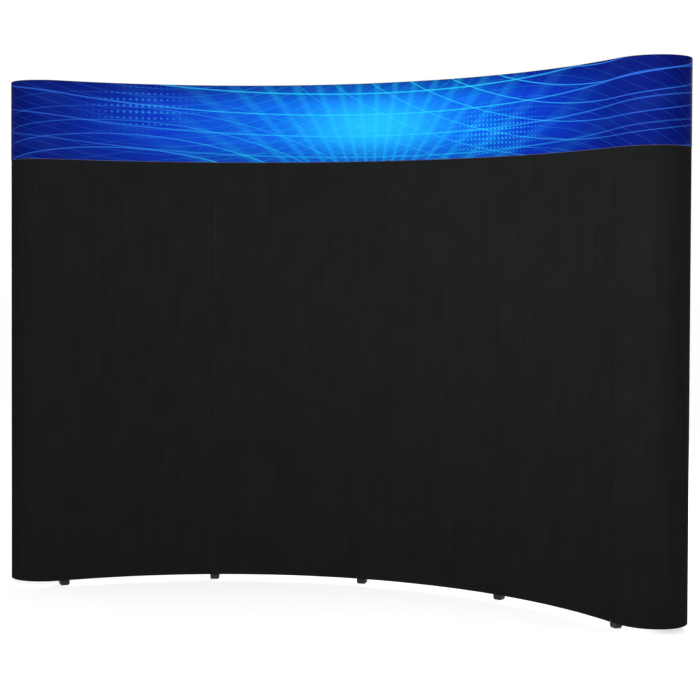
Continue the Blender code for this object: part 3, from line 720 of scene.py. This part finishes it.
def finishes():
    """Every material by its short name, made on the first call."""
    if not FINISHES:
        c = bpy.context.scene.display_wall_colours
        c = SimpleNamespace(**{key: tuple(getattr(c, key)) for key in DisplayWallColours.__annotations__})
        m = measures()
        FINISHES.update(
            fabric=looped_fabric(c),
            backing=rigid_pvc(c),
            magnet=magnet_strip_rubber(c),
            print=printed_laminate(c, m.header_low, m.header_top),
            film=polyester_film(c),
            hooks=hook_tape(c),
            tube=drawn_metal("anodised aluminium tube", c.tube, 0.34, 0.0009, 0.07),
            bar=drawn_metal("anodised aluminium extrusion", c.bar, 0.38, 0.0012, 0.06),
            nylon=moulded_nylon(c),
            steel=drawn_metal("zinc-plated steel", c.steel, 0.28, 0.002, 0.05),
        )
    return FINISHES


# Operators

def make_cover(m, kind, name, width, body, node, finish_names, fastenings):
    """Looped fabric, and the stiff sheet glued behind it with its fastenings, as two pieces on one body.

    The sheet is cut a little smaller than the fabric, so that its edge stays dark in the seam.
    """
    face = edged(0.0, -m.fabric_thick, m.floor_gap, m.height)
    back = edged(-m.fabric_thick - GLUE, -m.panel_thick, m.floor_gap + SHEET_DROP, m.height - SHEET_DROP)
    shapes = [band(cover_path(m, name), face)]
    fabric = make_piece(f"{kind}_fabric_{name}", shapes, "fabric", body)
    shapes = [band(cover_path(m, name, SHEET_TRIM), back), *fastenings]
    sheet = make_piece(f"{kind}_sheet_{name}", shapes, finish_names, body, node)


class DISPLAYWALL_OT_fabric_panels(bpy.types.Operator):
    """Four curved panels: looped fabric on a stiff sheet, with a magnet strip down each back edge."""
    bl_idname = "display_wall.fabric_panels"
    bl_label = "Fabric panels"

    def execute(self, context):
        m = measures()
        low, high = m.floor_gap + MAGNET_MARGIN, m.height - MAGNET_MARGIN
        strip = edged(-m.panel_thick, -m.panel_thick - m.magnet_thick, low, high, 0.0003)
        for bay in range(BAYS):
            low, high = panel_edges(m, bay)
            # The strips' sizes along X shrink with the cosine of the curve's slope at the outer edge
            slope = math.cos(column_angle(m, bay if bay < BAYS / 2 else bay + 1))
            near, far = MAGNET_INSET * slope, (MAGNET_INSET + m.magnet_width) * slope
            spans = ((low + near, low + far), (high - far, high - near))
            magnets = [band(panel_path(m, start, end, 3), strip, 1) for start, end in spans]
            name, width = str(bay + 1), m.panel_width - SEAM
            body, node = f"panel_{name}", f"front_panel_{name}"
            make_cover(m, "panel", name, width, body, node, "backing magnet", magnets)
        return {"FINISHED"}


class DISPLAYWALL_OT_end_caps(bpy.types.Operator):
    """Two rounded ends of the same fabric and sheet, with magnet strips and tabs that hang on the bars."""
    bl_idname = "display_wall.end_caps"
    bl_label = "Rounded ends"

    def fastenings(self, m, side):
        """A magnet strip and a tab by the front bar's face, as slabs in plan, and their mirror images."""
        bar_face = m.bar_front - m.hub_radius
        near, far = bar_face - FIT - m.magnet_thick, bar_face - FIT
        outline = block((MAGNET_INSET, near), (MAGNET_INSET + m.magnet_width, far))
        magnet = slab(outline, m.floor_gap + MAGNET_MARGIN, m.height - MAGNET_MARGIN, 0.0003, material=1)
        outline = block((MAGNET_INSET, near - FIT), (MAGNET_INSET + TAB_WIDTH, bar_face + TAB_REACH), 0.0012)
        low = m.bar_top + FIT
        tab = slab(outline, low, low + TAB_THICK, 0.0004, material=2)
        place = end_place(m, side)
        return [placed(shape, way) for way in (place, place @ rear_mirror(m)) for shape in (magnet, tab)]

    def execute(self, context):
        m = measures()
        for name, side in SIDES.items():
            _, along = cover_path(m, name)
            width, parts = float(abs(along[-1] - along[0])), self.fastenings(m, side)
            body, node = f"cap_{name}", f"end_cap_{name}"
            make_cover(m, "end", name, width, body, node, "backing magnet nylon", parts)
        return {"FINISHED"}


class DISPLAYWALL_OT_header_band(bpy.types.Operator):
    """The printed band in six sections, one on each panel and end, with the print running on across them.

    Behind the print lies white film, with a strip of hook tape along its top and its foot.
    """
    bl_idname = "display_wall.header_band"
    bl_label = "Printed header band"

    def execute(self, context):
        m = measures()
        step, margin = 0.0002, 0.008
        print_back = FIT + 0.4 * m.header_thick
        face = edged(FIT + m.header_thick, print_back, m.header_low, m.header_top)
        film = edged(print_back - 0.00002, FIT, m.header_low + step, m.header_top - step, 0.0001)
        lows = (m.header_low + margin, m.header_top - margin - m.hook_width)
        tapes = [edged(FIT - 0.00002, 0.00008, low, low + m.hook_width, 0.0001) for low in lows]
        for name in (*SIDES, *(str(bay + 1) for bay in range(BAYS))):
            # The sections of the print all but meet, and the film behind them ends short of their edges
            cut, path = (cover_path(m, name, trim) for trim in (-SEAM / 3, SHEET_TRIM))
            shapes = [band(cut, face), band(path, film, 1)]
            shapes += [band(shortened(path), tape, 2) for tape in tapes]
            body, node = f"header_{name}", f"header_section_{name}"
            make_piece(f"header_print_{name}", shapes, "print film hooks", body, node)
        return {"FINISHED"}


class DISPLAYWALL_OT_channel_bars(bpy.types.Operator):
    """Seven channel bars, each of three extruded sections with a magnet strip let into the front."""
    bl_idname = "display_wall.channel_bars"
    bl_label = "Channel bars"

    def outline(self, m):
        """A channel's section, with a recess in its front, rounded outer corners and lips."""
        half, wall, depth = m.bar_width / 2, m.bar_wall, m.bar_depth
        corner, recess, recess_depth, lip = 0.0012, half - 0.0022, 0.0006, half - wall - 0.0010
        turns = np.radians([0, 30, 60, 90])
        rounded = [(half - corner + corner * math.sin(a), corner - corner * math.cos(a)) for a in turns]
        side = [
            (recess, recess_depth), (recess, 0.0), *rounded, (half, depth - 0.0004), (half - 0.0004, depth),
            (lip + 0.0004, depth), (lip, depth - 0.0006), (lip, depth - 0.0014),
            (half - wall, depth - 0.0020), (half - wall, wall + 0.0006), (half - wall - 0.0006, wall),
        ]
        return np.array(side + [(-x, y) for x, y in side[::-1]])

    def section(self, m, start, end):
        """One extruded section, its outline carried upwards with cut ends, and the strip in its recess."""
        outline = self.outline(m)
        sides = np.linalg.norm(np.roll(outline, -1, 0) - outline, axis=1)
        heights = np.array([start, start + 0.0005, end - 0.0005, end])
        rows = [inset(outline, amount) for amount in (0.0003, 0.0, 0.0, 0.0003)]
        points = np.stack([np.column_stack([row, np.full(len(row), z)]) for row, z in zip(rows, heights)])
        uv = np.stack(np.broadcast_arrays(np.concatenate([[0], np.cumsum(sides)]), heights[:, None]), -1)
        half = m.bar_width / 2 - 0.0024
        strip = slab(block((-half, 0.00005), (half, 0.00055)), start + 0.001, end - 0.001, 0.0001, material=1)
        return [skin(points, True, True, uv), strip]

    def joint(self, m, middle):
        """Where two sections meet: a moulded insert inside them, and a thin seal in the gap before it."""
        inside, sealed = m.bar_width / 2 - m.bar_wall - 0.0001, m.bar_width / 2 - 0.0016
        parts = (
            (block((-inside, 0.0017), (inside, 0.0027)), 0.028, 0.0003),
            (block((-sealed, 0.0007), (sealed, 0.0012)), SECTION_GAP, 0.0001),
        )
        return [slab(plan, middle - reach, middle + reach, cut, material=2) for plan, reach, cut in parts]

    def execute(self, context):
        m = measures()
        joints = np.linspace(m.bar_low, m.bar_top, BAR_SECTIONS + 1)[1:-1]
        starts, ends = [m.bar_low, *(joints + SECTION_GAP)], [*(joints - SECTION_GAP), m.bar_top]
        shapes = [shape for span in zip(starts, ends) for shape in self.section(m, *span)]
        shapes += [shape for middle in joints for shape in self.joint(m, middle)]
        reach = m.hub_radius - m.bar_front
        front = Matrix.Translation((0, -reach, 0))
        rear = Matrix.Translation((0, m.back_offset + reach, 0)) @ Matrix.Rotation(math.pi, 4, "Z")
        jobs = [(f"front_channel_bar_{k + 1}", k, front) for k in range(BAYS + 1)]
        jobs += [("rear_channel_bar_left", 0, rear), ("rear_channel_bar_right", BAYS, rear)]
        for node, column, shift in jobs:
            place = column_place(m, column) @ shift
            moved = [placed(shape, place) for shape in shapes]
            name = node.replace("channel_bar", "bar")
            make_piece(name, moved, "bar magnet nylon", "frame", node)
        return {"FINISHED"}


def tube_with_ends(m, start, end, pin_axis):
    """A drawn tube between two pins, with a moulded plug in each end that flattens to a tongue round its pin.

    Along the plug the section goes from a circle to a rounded rectangle: x = w sgn(cos t) |cos t|^(2/n), with
    n from 2 to 6, and its width closes as a circle about the pin.
    """
    axis = (end - start).normalized()
    span = (end - start).length
    radius = m.tube_radius
    bore = radius - TUBE_WALL
    near = [(PLUG + 0.002, bore), (PLUG, bore), (PLUG, radius - 0.0002), (PLUG + 0.0002, radius)]
    far = [(span - along, size) for along, size in near[::-1]]
    shapes = [turned(start, end, near + far, 24)]
    along = [PLUG + 0.004, PLUG + 0.0001, PLUG, PLUG - 0.004, PLUG - 0.009, 0.008, 0.0]
    along = np.concatenate([along, -radius * np.sin(np.radians([20, 40, 60, 75, 86]))])
    blend = np.clip((PLUG - 0.003 - along) / 0.006, 0, 1)
    power = 2 / (2 + 4 * blend)[:, None]
    width = np.where(along < 0, np.sqrt(np.maximum(radius ** 2 - along ** 2, 0)), radius - 0.0001)
    width = np.where(along > PLUG, bore - 0.0001, width)
    thick = np.where(along > PLUG, bore - 0.0001, radius - 0.0001 - 0.0006 * blend)
    theta = np.linspace(0, math.tau, 17)[:-1]
    x, z = (
        np.sign(wave) * np.abs(wave) ** power * size[:, None]
        for wave, size in ((np.cos(theta), width), (np.sin(theta), thick))
    )
    for pin, way in ((start, axis), (end, -axis)):
        across = pin_axis.cross(way).normalized()
        upright = way.cross(across).normalized()
        points = np.array(pin) + along[:, None, None] * np.array(way)
        points = points + x[..., None] * np.array(across) + z[..., None] * np.array(upright)
        shapes.append(skin(points, True, True, material=1))
    return shapes


def domed_rivet(m, middle, axis):
    """A rivet through two crossed tubes, with a washer and a low dome at each end."""
    half = TUBE_SHIFT + m.tube_radius
    head = [
        (-0.0035, 0.0019), (0.0, 0.0019), (0.0, 0.0040), (0.0004, 0.0040), (0.0004, 0.0028), (0.0009, 0.0024),
        (0.0013, 0.0014), (0.0014, 0.0004),
    ]
    tips = [middle + sign * half * axis for sign in (-1, 1)]
    shapes = [turned(tip, tip + sign * axis, head, 14, 2) for tip, sign in zip(tips, (-1, 1))]
    return [*shapes, turned(*tips, [(0.0, 0.0018), (2 * half, 0.0018)], 10, 2)]


def make_scissor(m, kind, name, tubes, crossing, pin_axis):
    """Two tubes, given by the pins at their ends, and the rivet through them where they cross."""
    shapes = [shape for start, end in tubes for shape in tube_with_ends(m, start, end, pin_axis)]
    shapes += domed_rivet(m, crossing, pin_axis)
    node = f"{kind}_scissor_{name}"
    make_piece(f"{kind}_tubes_{name}", shapes, "tube nylon steel", "frame", node)


class DISPLAYWALL_OT_level_scissors(bpy.types.Operator):
    """Sixteen level pairs of tubes, riveted where they cross, between each two columns of hubs."""
    bl_idname = "display_wall.level_scissors"
    bl_label = "Level scissor pairs"

    def execute(self, context):
        m = measures()
        up = Vector((0, 0, 1))
        for bay in range(BAYS):
            first, second = column_place(m, bay), column_place(m, bay + 1)
            front, back = (
                (first @ Vector((PIN_PLACE, y, 0)), second @ Vector((-PIN_PLACE, y, 0)))
                for y in (0, m.back_offset)
            )
            # The tubes cross where the way between the two middles is shared as the spans of the pins are
            middles = [start.lerp(end, 0.5) for start, end in (front, back)]
            spans = [(end - start).length for start, end in (front, back)]
            crossing = middles[0].lerp(middles[1], spans[0] / sum(spans))
            for level in range(ROWS + 1):
                height = (m.low_level + level * m.row_height) * up
                over, under = height + TUBE_SHIFT * up, height - TUBE_SHIFT * up
                tubes = ((front[0] + over, back[1] + over), (back[0] + under, front[1] + under))
                make_scissor(m, "level", f"{bay + 1}_{level + 1}", tubes, crossing + height, up)
        return {"FINISHED"}


def hub_outline(m, hand, open_sides):
    """A hub's front outline, anticlockwise: an octagon with a slot in each of the sides named.

    Each side has its own pair of axes, p out from the middle and q along the side. A slot is cut down to its
    floor between two values of q, and where it passes the side's corner it starts on the slanted side, at
    p = half + corner - |q|.
    """
    half = m.hub_across / 2
    corner = half * math.tan(math.pi / 8)
    gap = m.tube_radius + FIT
    floor = half - SLOT_DEPTH
    points = []
    for quarter, name in enumerate(("right", "top", "left", "bottom")):
        if name in open_sides:
            low, high = hand * TUBE_SHIFT - gap, hand * TUBE_SHIFT + gap
            side = [(half, -corner), (half, low)] if low > -corner else [(half + corner + low, low)]
            side += [(floor, low), (floor, high)]
            side += [(half, high), (half, corner)] if high < corner else [(half + corner - high, high)]
        else:
            side = [(half, -corner), (half, corner)]
        turn = quarter * math.pi / 2
        c, s = round(math.cos(turn)), round(math.sin(turn))
        points += [(p * c - q * s, p * s + q * c) for p, q in side]
    return np.array(points)


def hub_body(m, hand, open_sides, sunk):
    """The moulded octagon, with a round pocket and a boss in each face whose sign is in sunk."""
    half = m.hub_depth / 2
    pockets = [(circle(0, 0, 0.0078, 24), sign * 0.0035) for sign in sunk]
    outline = hub_outline(m, hand, open_sides)
    shapes = [placed(slab(outline, -half, half, 0.0009, (), pockets), UPRIGHT)]
    boss = [(0.0, 0.0042), (0.0022, 0.0042), (0.0026, 0.0038), (0.0026, 0.0020), (0.0012, 0.0019)]
    for sign in sunk:
        floor = Vector((0, sign * (half - 0.0036), 0))
        shapes.append(turned(floor, floor + Vector((0, sign, 0)), boss))
    return shapes


def slot_pins(m, hand, open_sides):
    """A pin across each slot, on which a tube's end turns."""
    reach = m.tube_radius + FIT + 0.0005
    shift = hand * TUBE_SHIFT
    lines = {
        "left": (Vector((-PIN_PLACE, 0, -shift)), Vector((0, 0, 1))),
        "right": (Vector((PIN_PLACE, 0, shift)), Vector((0, 0, 1))),
        "top": (Vector((-shift, 0, PIN_PLACE)), Vector((1, 0, 0))),
        "bottom": (Vector((shift, 0, -PIN_PLACE)), Vector((1, 0, 0))),
    }
    profile = [(0, PIN_RADIUS), (2 * reach, PIN_RADIUS)]
    return [
        turned(place - reach * axis, place + reach * axis, profile, 10, 1)
        for name, (place, axis) in lines.items() if name in open_sides
    ]


def bar_clip(m, facing):
    """The block on a hub's outer face that the channel bar snaps over."""
    near, far = m.hub_depth / 2 - 0.0005, m.hub_depth / 2 + FIT + m.bar_depth - m.bar_wall - 0.0006
    width = m.bar_width / 2 - m.bar_wall - 0.0006
    outline = block((-width, -0.015), (width, 0.015), 0.002)
    return placed(slab(outline, *sorted((facing * near, facing * far)), 0.0006), UPRIGHT)


def arm_mount(m, inward):
    """A lug on a hub's inner face, and the headed pin in it that an arm turns or hooks on."""
    face = inward * m.hub_depth / 2
    pin_y = face + inward * ARM_PIN_REACH
    near, far = sorted((face - inward * 0.0005, pin_y + inward * 0.006))
    lug = slab(block((near, -0.006), (far, 0.006), 0.002), LUG_START, LUG_START + LUG_THICK)
    start = Vector((ARM_PIN_START, pin_y, 0))
    head = ARM_SIDE + ARM_THICK + FIT - ARM_PIN_START
    profile = [
        (0, ARM_PIN_RADIUS), (head, ARM_PIN_RADIUS), (head, 0.0052), (head + 0.0007, 0.0055),
        (head + 0.0012, 0.0046), (head + 0.0015, 0.002),
    ]
    return [placed(lug, SIDEWAYS), turned(start, start + Vector((1, 0, 0)), profile, 18, 1)]


def hub_shapes(m, column, level, back, armed):
    """One moulded hub with its pins, bar clip and arm mount, in its column's frame at its level."""
    hand = -1 if back else 1
    facing = -hand
    there = {"left": column > 0, "right": column < BAYS, "top": level < ROWS, "bottom": level > 0}
    open_sides = [name for name in there if there[name]]
    clipped = not back or column in (0, BAYS)
    sunk = [sign for sign in (-1, 1) if sign != facing or not clipped]
    shapes = hub_body(m, hand, open_sides, sunk) + slot_pins(m, hand, open_sides)
    if clipped:
        shapes.append(bar_clip(m, facing))
    if armed:
        shapes += arm_mount(m, -facing)
    lift = Matrix.Translation((0, m.back_offset if back else 0, m.low_level + level * m.row_height))
    place = column_place(m, column) @ lift
    return [placed(shape, place) for shape in shapes]


class DISPLAYWALL_OT_upright_scissors(bpy.types.Operator):
    """Fifteen upright pairs of tubes, and the moulded hubs and feet that they stand between."""
    bl_idname = "display_wall.upright_scissors"
    bl_label = "Upright scissor pairs, hubs and feet"

    def feet(self, m, place):
        """A foot, whose front outline has cut lower corners and is carried back, and its mirror image."""
        half, high, outer = FOOT_WIDTH / 2, m.foot_height, -m.hub_depth / 2
        flat = half - FOOT_CORNER
        side = [(flat, 0), (half, FOOT_CORNER), (half, high)]
        outline = side + [(-x, z) for x, z in side[::-1]]
        pocket = (block((-0.012, 0.007), (0.012, 0.017), 0.003), -0.001)
        shape = placed(slab(outline, outer, outer + FOOT_DEPTH, 0.0010, (), [pocket]), UPRIGHT)
        return [placed(shape, way) for way in (place, place @ rear_mirror(m))]

    def execute(self, context):
        m = measures()
        for column in range(BAYS + 1):
            place = column_place(m, column)
            across = place.to_3x3() @ Vector((1, 0, 0))
            make_piece(f"feet_{column + 1}", self.feet(m, place), "nylon", "frame")
            for row in range(ROWS):
                name = f"{column + 1}_{row + 1}"
                base = m.low_level + row * m.row_height
                low, high = base + PIN_PLACE, base + m.row_height - PIN_PLACE
                # One tube rises to the rear and one to the front, each to its own side of the column
                tubes = [
                    (place @ Vector((x, start, low)), place @ Vector((x, end, high)))
                    for x, start, end in ((-TUBE_SHIFT, 0, m.back_offset), (TUBE_SHIFT, m.back_offset, 0))
                ]
                crossing = place @ Vector((0, m.back_offset / 2, base + m.row_height / 2))
                make_scissor(m, "upright", name, tubes, crossing, across)
                armed = column in ARMED_COLUMNS and row + 1 in ARMED_LEVELS
                shapes = []
                for back in (False, True):
                    shapes += hub_shapes(m, column, row + 1, back, armed)
                    if row == 0:
                        shapes += hub_shapes(m, column, 0, back, False)
                make_piece(f"hubs_{name}", shapes, "nylon steel", "frame")
        return {"FINISHED"}


class DISPLAYWALL_OT_panel_hangers(bpy.types.Operator):
    """A moulded strip along each panel's upper back edge, with a ledge at each end that rests on the bar."""
    bl_idname = "display_wall.panel_hangers"
    bl_label = "Panel hangers"

    def strip(self, m, centre, ear, body):
        """The strip's section carried round the curve, with its lower edge higher past the body."""
        inner = m.curve_radius + m.panel_thick + FIT
        high = m.height - HANGER_DROP
        step = 0.0001
        angles = np.concatenate([[-ear, -body - step], np.linspace(-body, body, 41), [body + step, ear]])
        lows = np.where(np.abs(angles) > body, m.bar_top + FIT, high - HANGER_HEIGHT)
        path = (lambda radius: arc_place(m, angles + centre, radius)), m.curve_radius * angles
        return band(path, edged(inner + HANGER_THICK, inner, lows, high, 0.0003))

    def ledge(self, m, start, end):
        """A flat block between two angles that reaches back over the bar's top."""
        inner = m.curve_radius + m.panel_thick + FIT + 0.001
        sweep = np.linspace(start, end, 4)
        near, far = arc_place(m, sweep, inner), arc_place(m, sweep[::-1], m.bar_front + TAB_REACH)
        tab_low = m.bar_top + FIT
        return slab(np.concatenate([near, far])[::-1], tab_low, tab_low + TAB_THICK, 0.0003)

    def rivet(self, m, angle):
        """A low dome on the strip's back."""
        outer = m.curve_radius + m.panel_thick + FIT + HANGER_THICK
        middle = m.height - HANGER_DROP - HANGER_HEIGHT / 2
        spot = Vector((*arc_place(m, angle, outer), middle))
        out = Vector((math.sin(angle), math.cos(angle), 0))
        dome = [(-0.0005, 0.0028), (0.0002, 0.0028), (0.0007, 0.0022), (0.0009, 0.001)]
        return turned(spot, spot + out, dome, 14, 1)

    def execute(self, context):
        m = measures()
        ear = m.bay_angle / 2 - (SEAM + 0.006) / m.curve_radius
        ledge = ear - TAB_WIDTH / m.curve_radius
        body = m.bay_angle / 2 - HANGER_SHORT / m.curve_radius
        for bay in range(BAYS):
            centre = column_angle(m, bay + 0.5)
            shapes = [self.strip(m, centre, ear, body)]
            for start, end in ((-ear, -ledge), (ledge, ear)):
                shapes.append(self.ledge(m, centre + start, centre + end))
            shapes += [self.rivet(m, centre + (k - 1.5) * body / 2) for k in range(4)]
            name, node = f"hanger_strip_{bay + 1}", f"panel_hanger_{bay + 1}"
            make_piece(name, shapes, "nylon steel", f"panel_{bay + 1}", node)
        return {"FINISHED"}


class DISPLAYWALL_OT_locking_arms(bpy.types.Operator):
    """Six moulded arms that turn on the back hubs' pins and hook on the front hubs' pins."""
    bl_idname = "display_wall.locking_arms"
    bl_label = "Locking arms"

    def outline(self, m):
        """An arm's outline about its pivot: a round end, a straight blade, and a hook that opens upwards."""
        half, long, notch, hook = ARM_HALF, m.arm_length, ARM_PIN_RADIUS + FIT, 0.0075
        turn = np.radians(np.arange(-90, 91, 15))
        rounding = np.stack([half * np.cos(turn), half * np.sin(turn)], -1)
        seat = np.radians(np.arange(0, -181, -20))
        seat = np.stack([-long + notch * np.cos(seat), notch * np.sin(seat)], -1)
        tip = -long - hook
        rest = [(tip + 0.0008, half), (tip, half - 0.0008), (tip, -half / 2), (tip + half / 2, -half)]
        return np.concatenate([rounding, [(-long + notch, half)], seat, [(-long - notch, half)], rest])

    def execute(self, context):
        m = measures()
        groove = block((-m.arm_length + 0.014, -0.003), (-0.012, 0.003), 0.0028)
        bore = circle(0, 0, ARM_PIN_RADIUS + FIT, 24)
        arm = slab(self.outline(m), 0.0, ARM_THICK, 0.0006, [bore], [(groove, -0.0012), (groove, 0.0012)])
        hinge = Matrix.Translation((ARM_SIDE, m.back_offset - m.hub_depth / 2 - ARM_PIN_REACH, 0))
        for column in ARMED_COLUMNS:
            for level in ARMED_LEVELS:
                height = m.low_level + level * m.row_height
                shape = placed(arm, column_place(m, column, height) @ hinge @ SIDEWAYS)
                name = f"arm_{column + 1}_{level + 1}"
                make_piece(name, [shape], "nylon", name, f"locking_{name}")
        return {"FINISHED"}


class DISPLAYWALL_OT_stage(bpy.types.Operator):
    """A plain pale floor, soft lamps, a white background and the camera."""
    bl_idname = "display_wall.stage"
    bl_label = "Stage"

    def floor(self, context):
        c = context.scene.display_wall_colours
        look = {"Base_Color": (*c.floor, 1.0), "Roughness": 0.9, "Specular_IOR_Level": 0.1}
        made, tree = new_material("matte studio floor", **look)
        # A glow that only the camera and reflections see takes the lit floor to white and leaves its shadow
        camera_ray = add_node(tree, "LightPath", output="Is Camera Ray")
        glossy_ray = add_node(tree, "LightPath", output="Is Glossy Ray")
        seen = add_node(tree, "Math", {0: camera_ray, 1: glossy_ray}, operation="MAXIMUM")
        glow = add_node(tree, "Math", {0: seen, 1: FLOOR_GLOW}, operation="MULTIPLY")
        glow = add_node(tree, "Emission", {"Color": (1, 1, 1, 1), "Strength": glow})
        lit = tree.nodes["Principled BSDF"].outputs[0]
        both = add_node(tree, "AddShader", {0: lit, 1: glow})
        tree.links.new(both, tree.nodes["Material Output"].inputs["Surface"])
        mesh = bpy.data.meshes.new("studio_floor")
        corners = np.array([(-1, -1), (1, -1), (1, 1), (-1, 1)]) * 60.0
        mesh.from_pydata(np.column_stack([corners, np.full(4, -0.0003)]).tolist(), [], [(0, 1, 2, 3)])
        mesh.materials.append(made)
        obj = bpy.data.objects.new("studio_floor", mesh)
        context.scene.collection.objects.link(obj)

    def world(self, context):
        world = bpy.data.worlds.new("studio")
        context.scene.world = world
        world.use_nodes = True
        tree = world.node_tree
        # The camera and clear pieces see plain white, and the rest is lit by a softer light
        camera_ray = add_node(tree, "LightPath", output="Is Camera Ray")
        through_ray = add_node(tree, "LightPath", output="Is Transmission Ray")
        plain = add_node(tree, "Math", {0: camera_ray, 1: through_ray}, operation="MAXIMUM")
        back = tree.nodes["Background"].inputs
        back["Color"].default_value = (1, 1, 1, 1)
        tree.links.new(add_node(tree, "MapRange", {0: plain, 3: WORLD_LIGHT, 4: 1.0}), back["Strength"])

    def lamp(self, context, name, place, aim, size, power, spread=180):
        data = bpy.data.lights.new(name, "AREA")
        data.shape = "DISK"
        data.size = size
        data.energy = power
        data.spread = math.radians(spread)
        lamp = bpy.data.objects.new(name, data)
        context.scene.collection.objects.link(lamp)
        lamp.location = place
        lamp.rotation_euler = (Vector(aim) - Vector(place)).to_track_quat("-Z", "Y").to_euler()

    def camera(self, context):
        """The camera turns left by the yaw and down by the pitch, and rolls a little about its axis."""
        place, yaw, pitch, roll = (2.344, -6.848, 1.411), 0.3381, 0.0221, -0.0042
        ahead, level = Vector((-math.sin(yaw), math.cos(yaw), 0)), Vector((math.cos(yaw), math.sin(yaw), 0))
        forward = math.cos(pitch) * ahead - Vector((0, 0, math.sin(pitch)))
        below = forward.cross(level)
        right = math.cos(roll) * level + math.sin(roll) * below
        down = math.cos(roll) * below - math.sin(roll) * level
        data = bpy.data.cameras.new("camera")
        data.sensor_width = 36.0
        data.lens = 82.32
        data.shift_x = 0.0005
        data.shift_y = -0.0603
        camera = bpy.data.objects.new("camera", data)
        context.scene.collection.objects.link(camera)
        turned_to = Matrix((right, -down, -forward)).transposed().to_4x4()
        camera.matrix_world = Matrix.Translation(place) @ turned_to
        context.scene.camera = camera

    def execute(self, context):
        self.floor(context)
        self.world(context)
        self.lamp(context, "key", (-2.5, -4.5, 2.8), (1.4, -0.4, 1.4), 1.5, 10.0, 42)
        self.lamp(context, "fill", (2.2, -5.6, 2.7), (-0.6, -0.2, 1.8), 2.5, 36.0, 66)
        self.lamp(context, "rear", (1.5, 5.0, 3.4), (0, 0, 1.1), 3.0, 260.0)
        self.camera(context)
        context.scene.view_settings.view_transform = "Standard"
        return {"FINISHED"}


class DISPLAYWALL_PT_pieces(bpy.types.Panel):
    """Lists the wall's pieces, sizes and colours."""
    bl_label = "Pop-up Display Wall"
    bl_idname = "DISPLAYWALL_PT_pieces"
    bl_space_type = "VIEW_3D"
    bl_region_type = "UI"
    bl_category = "Display Wall"

    def draw(self, context):
        for operator in OPERATORS:
            self.layout.operator(operator.bl_idname)
        for group in (context.scene.display_wall_sizes, context.scene.display_wall_colours):
            box = self.layout.box()
            for key in type(group).__annotations__:
                box.prop(group, key)


OPERATORS = (
    DISPLAYWALL_OT_stage,
    DISPLAYWALL_OT_fabric_panels,
    DISPLAYWALL_OT_end_caps,
    DISPLAYWALL_OT_header_band,
    DISPLAYWALL_OT_panel_hangers,
    DISPLAYWALL_OT_channel_bars,
    DISPLAYWALL_OT_level_scissors,
    DISPLAYWALL_OT_upright_scissors,
    DISPLAYWALL_OT_locking_arms,
)
CLASSES = (DisplayWallSizes, DisplayWallColours, *OPERATORS, DISPLAYWALL_PT_pieces)


def register():
    for cls in CLASSES:
        bpy.utils.register_class(cls)
    bpy.types.Scene.display_wall_sizes = bpy.props.PointerProperty(type=DisplayWallSizes)
    bpy.types.Scene.display_wall_colours = bpy.props.PointerProperty(type=DisplayWallColours)


def unregister():
    del bpy.types.Scene.display_wall_colours
    del bpy.types.Scene.display_wall_sizes
    for cls in reversed(CLASSES):
        bpy.utils.unregister_class(cls)


def main():
    register()
    for operator in OPERATORS:
        group, name = operator.bl_idname.split(".")
        getattr(getattr(bpy.ops, group), name)()


if __name__ == "__main__":
    main()
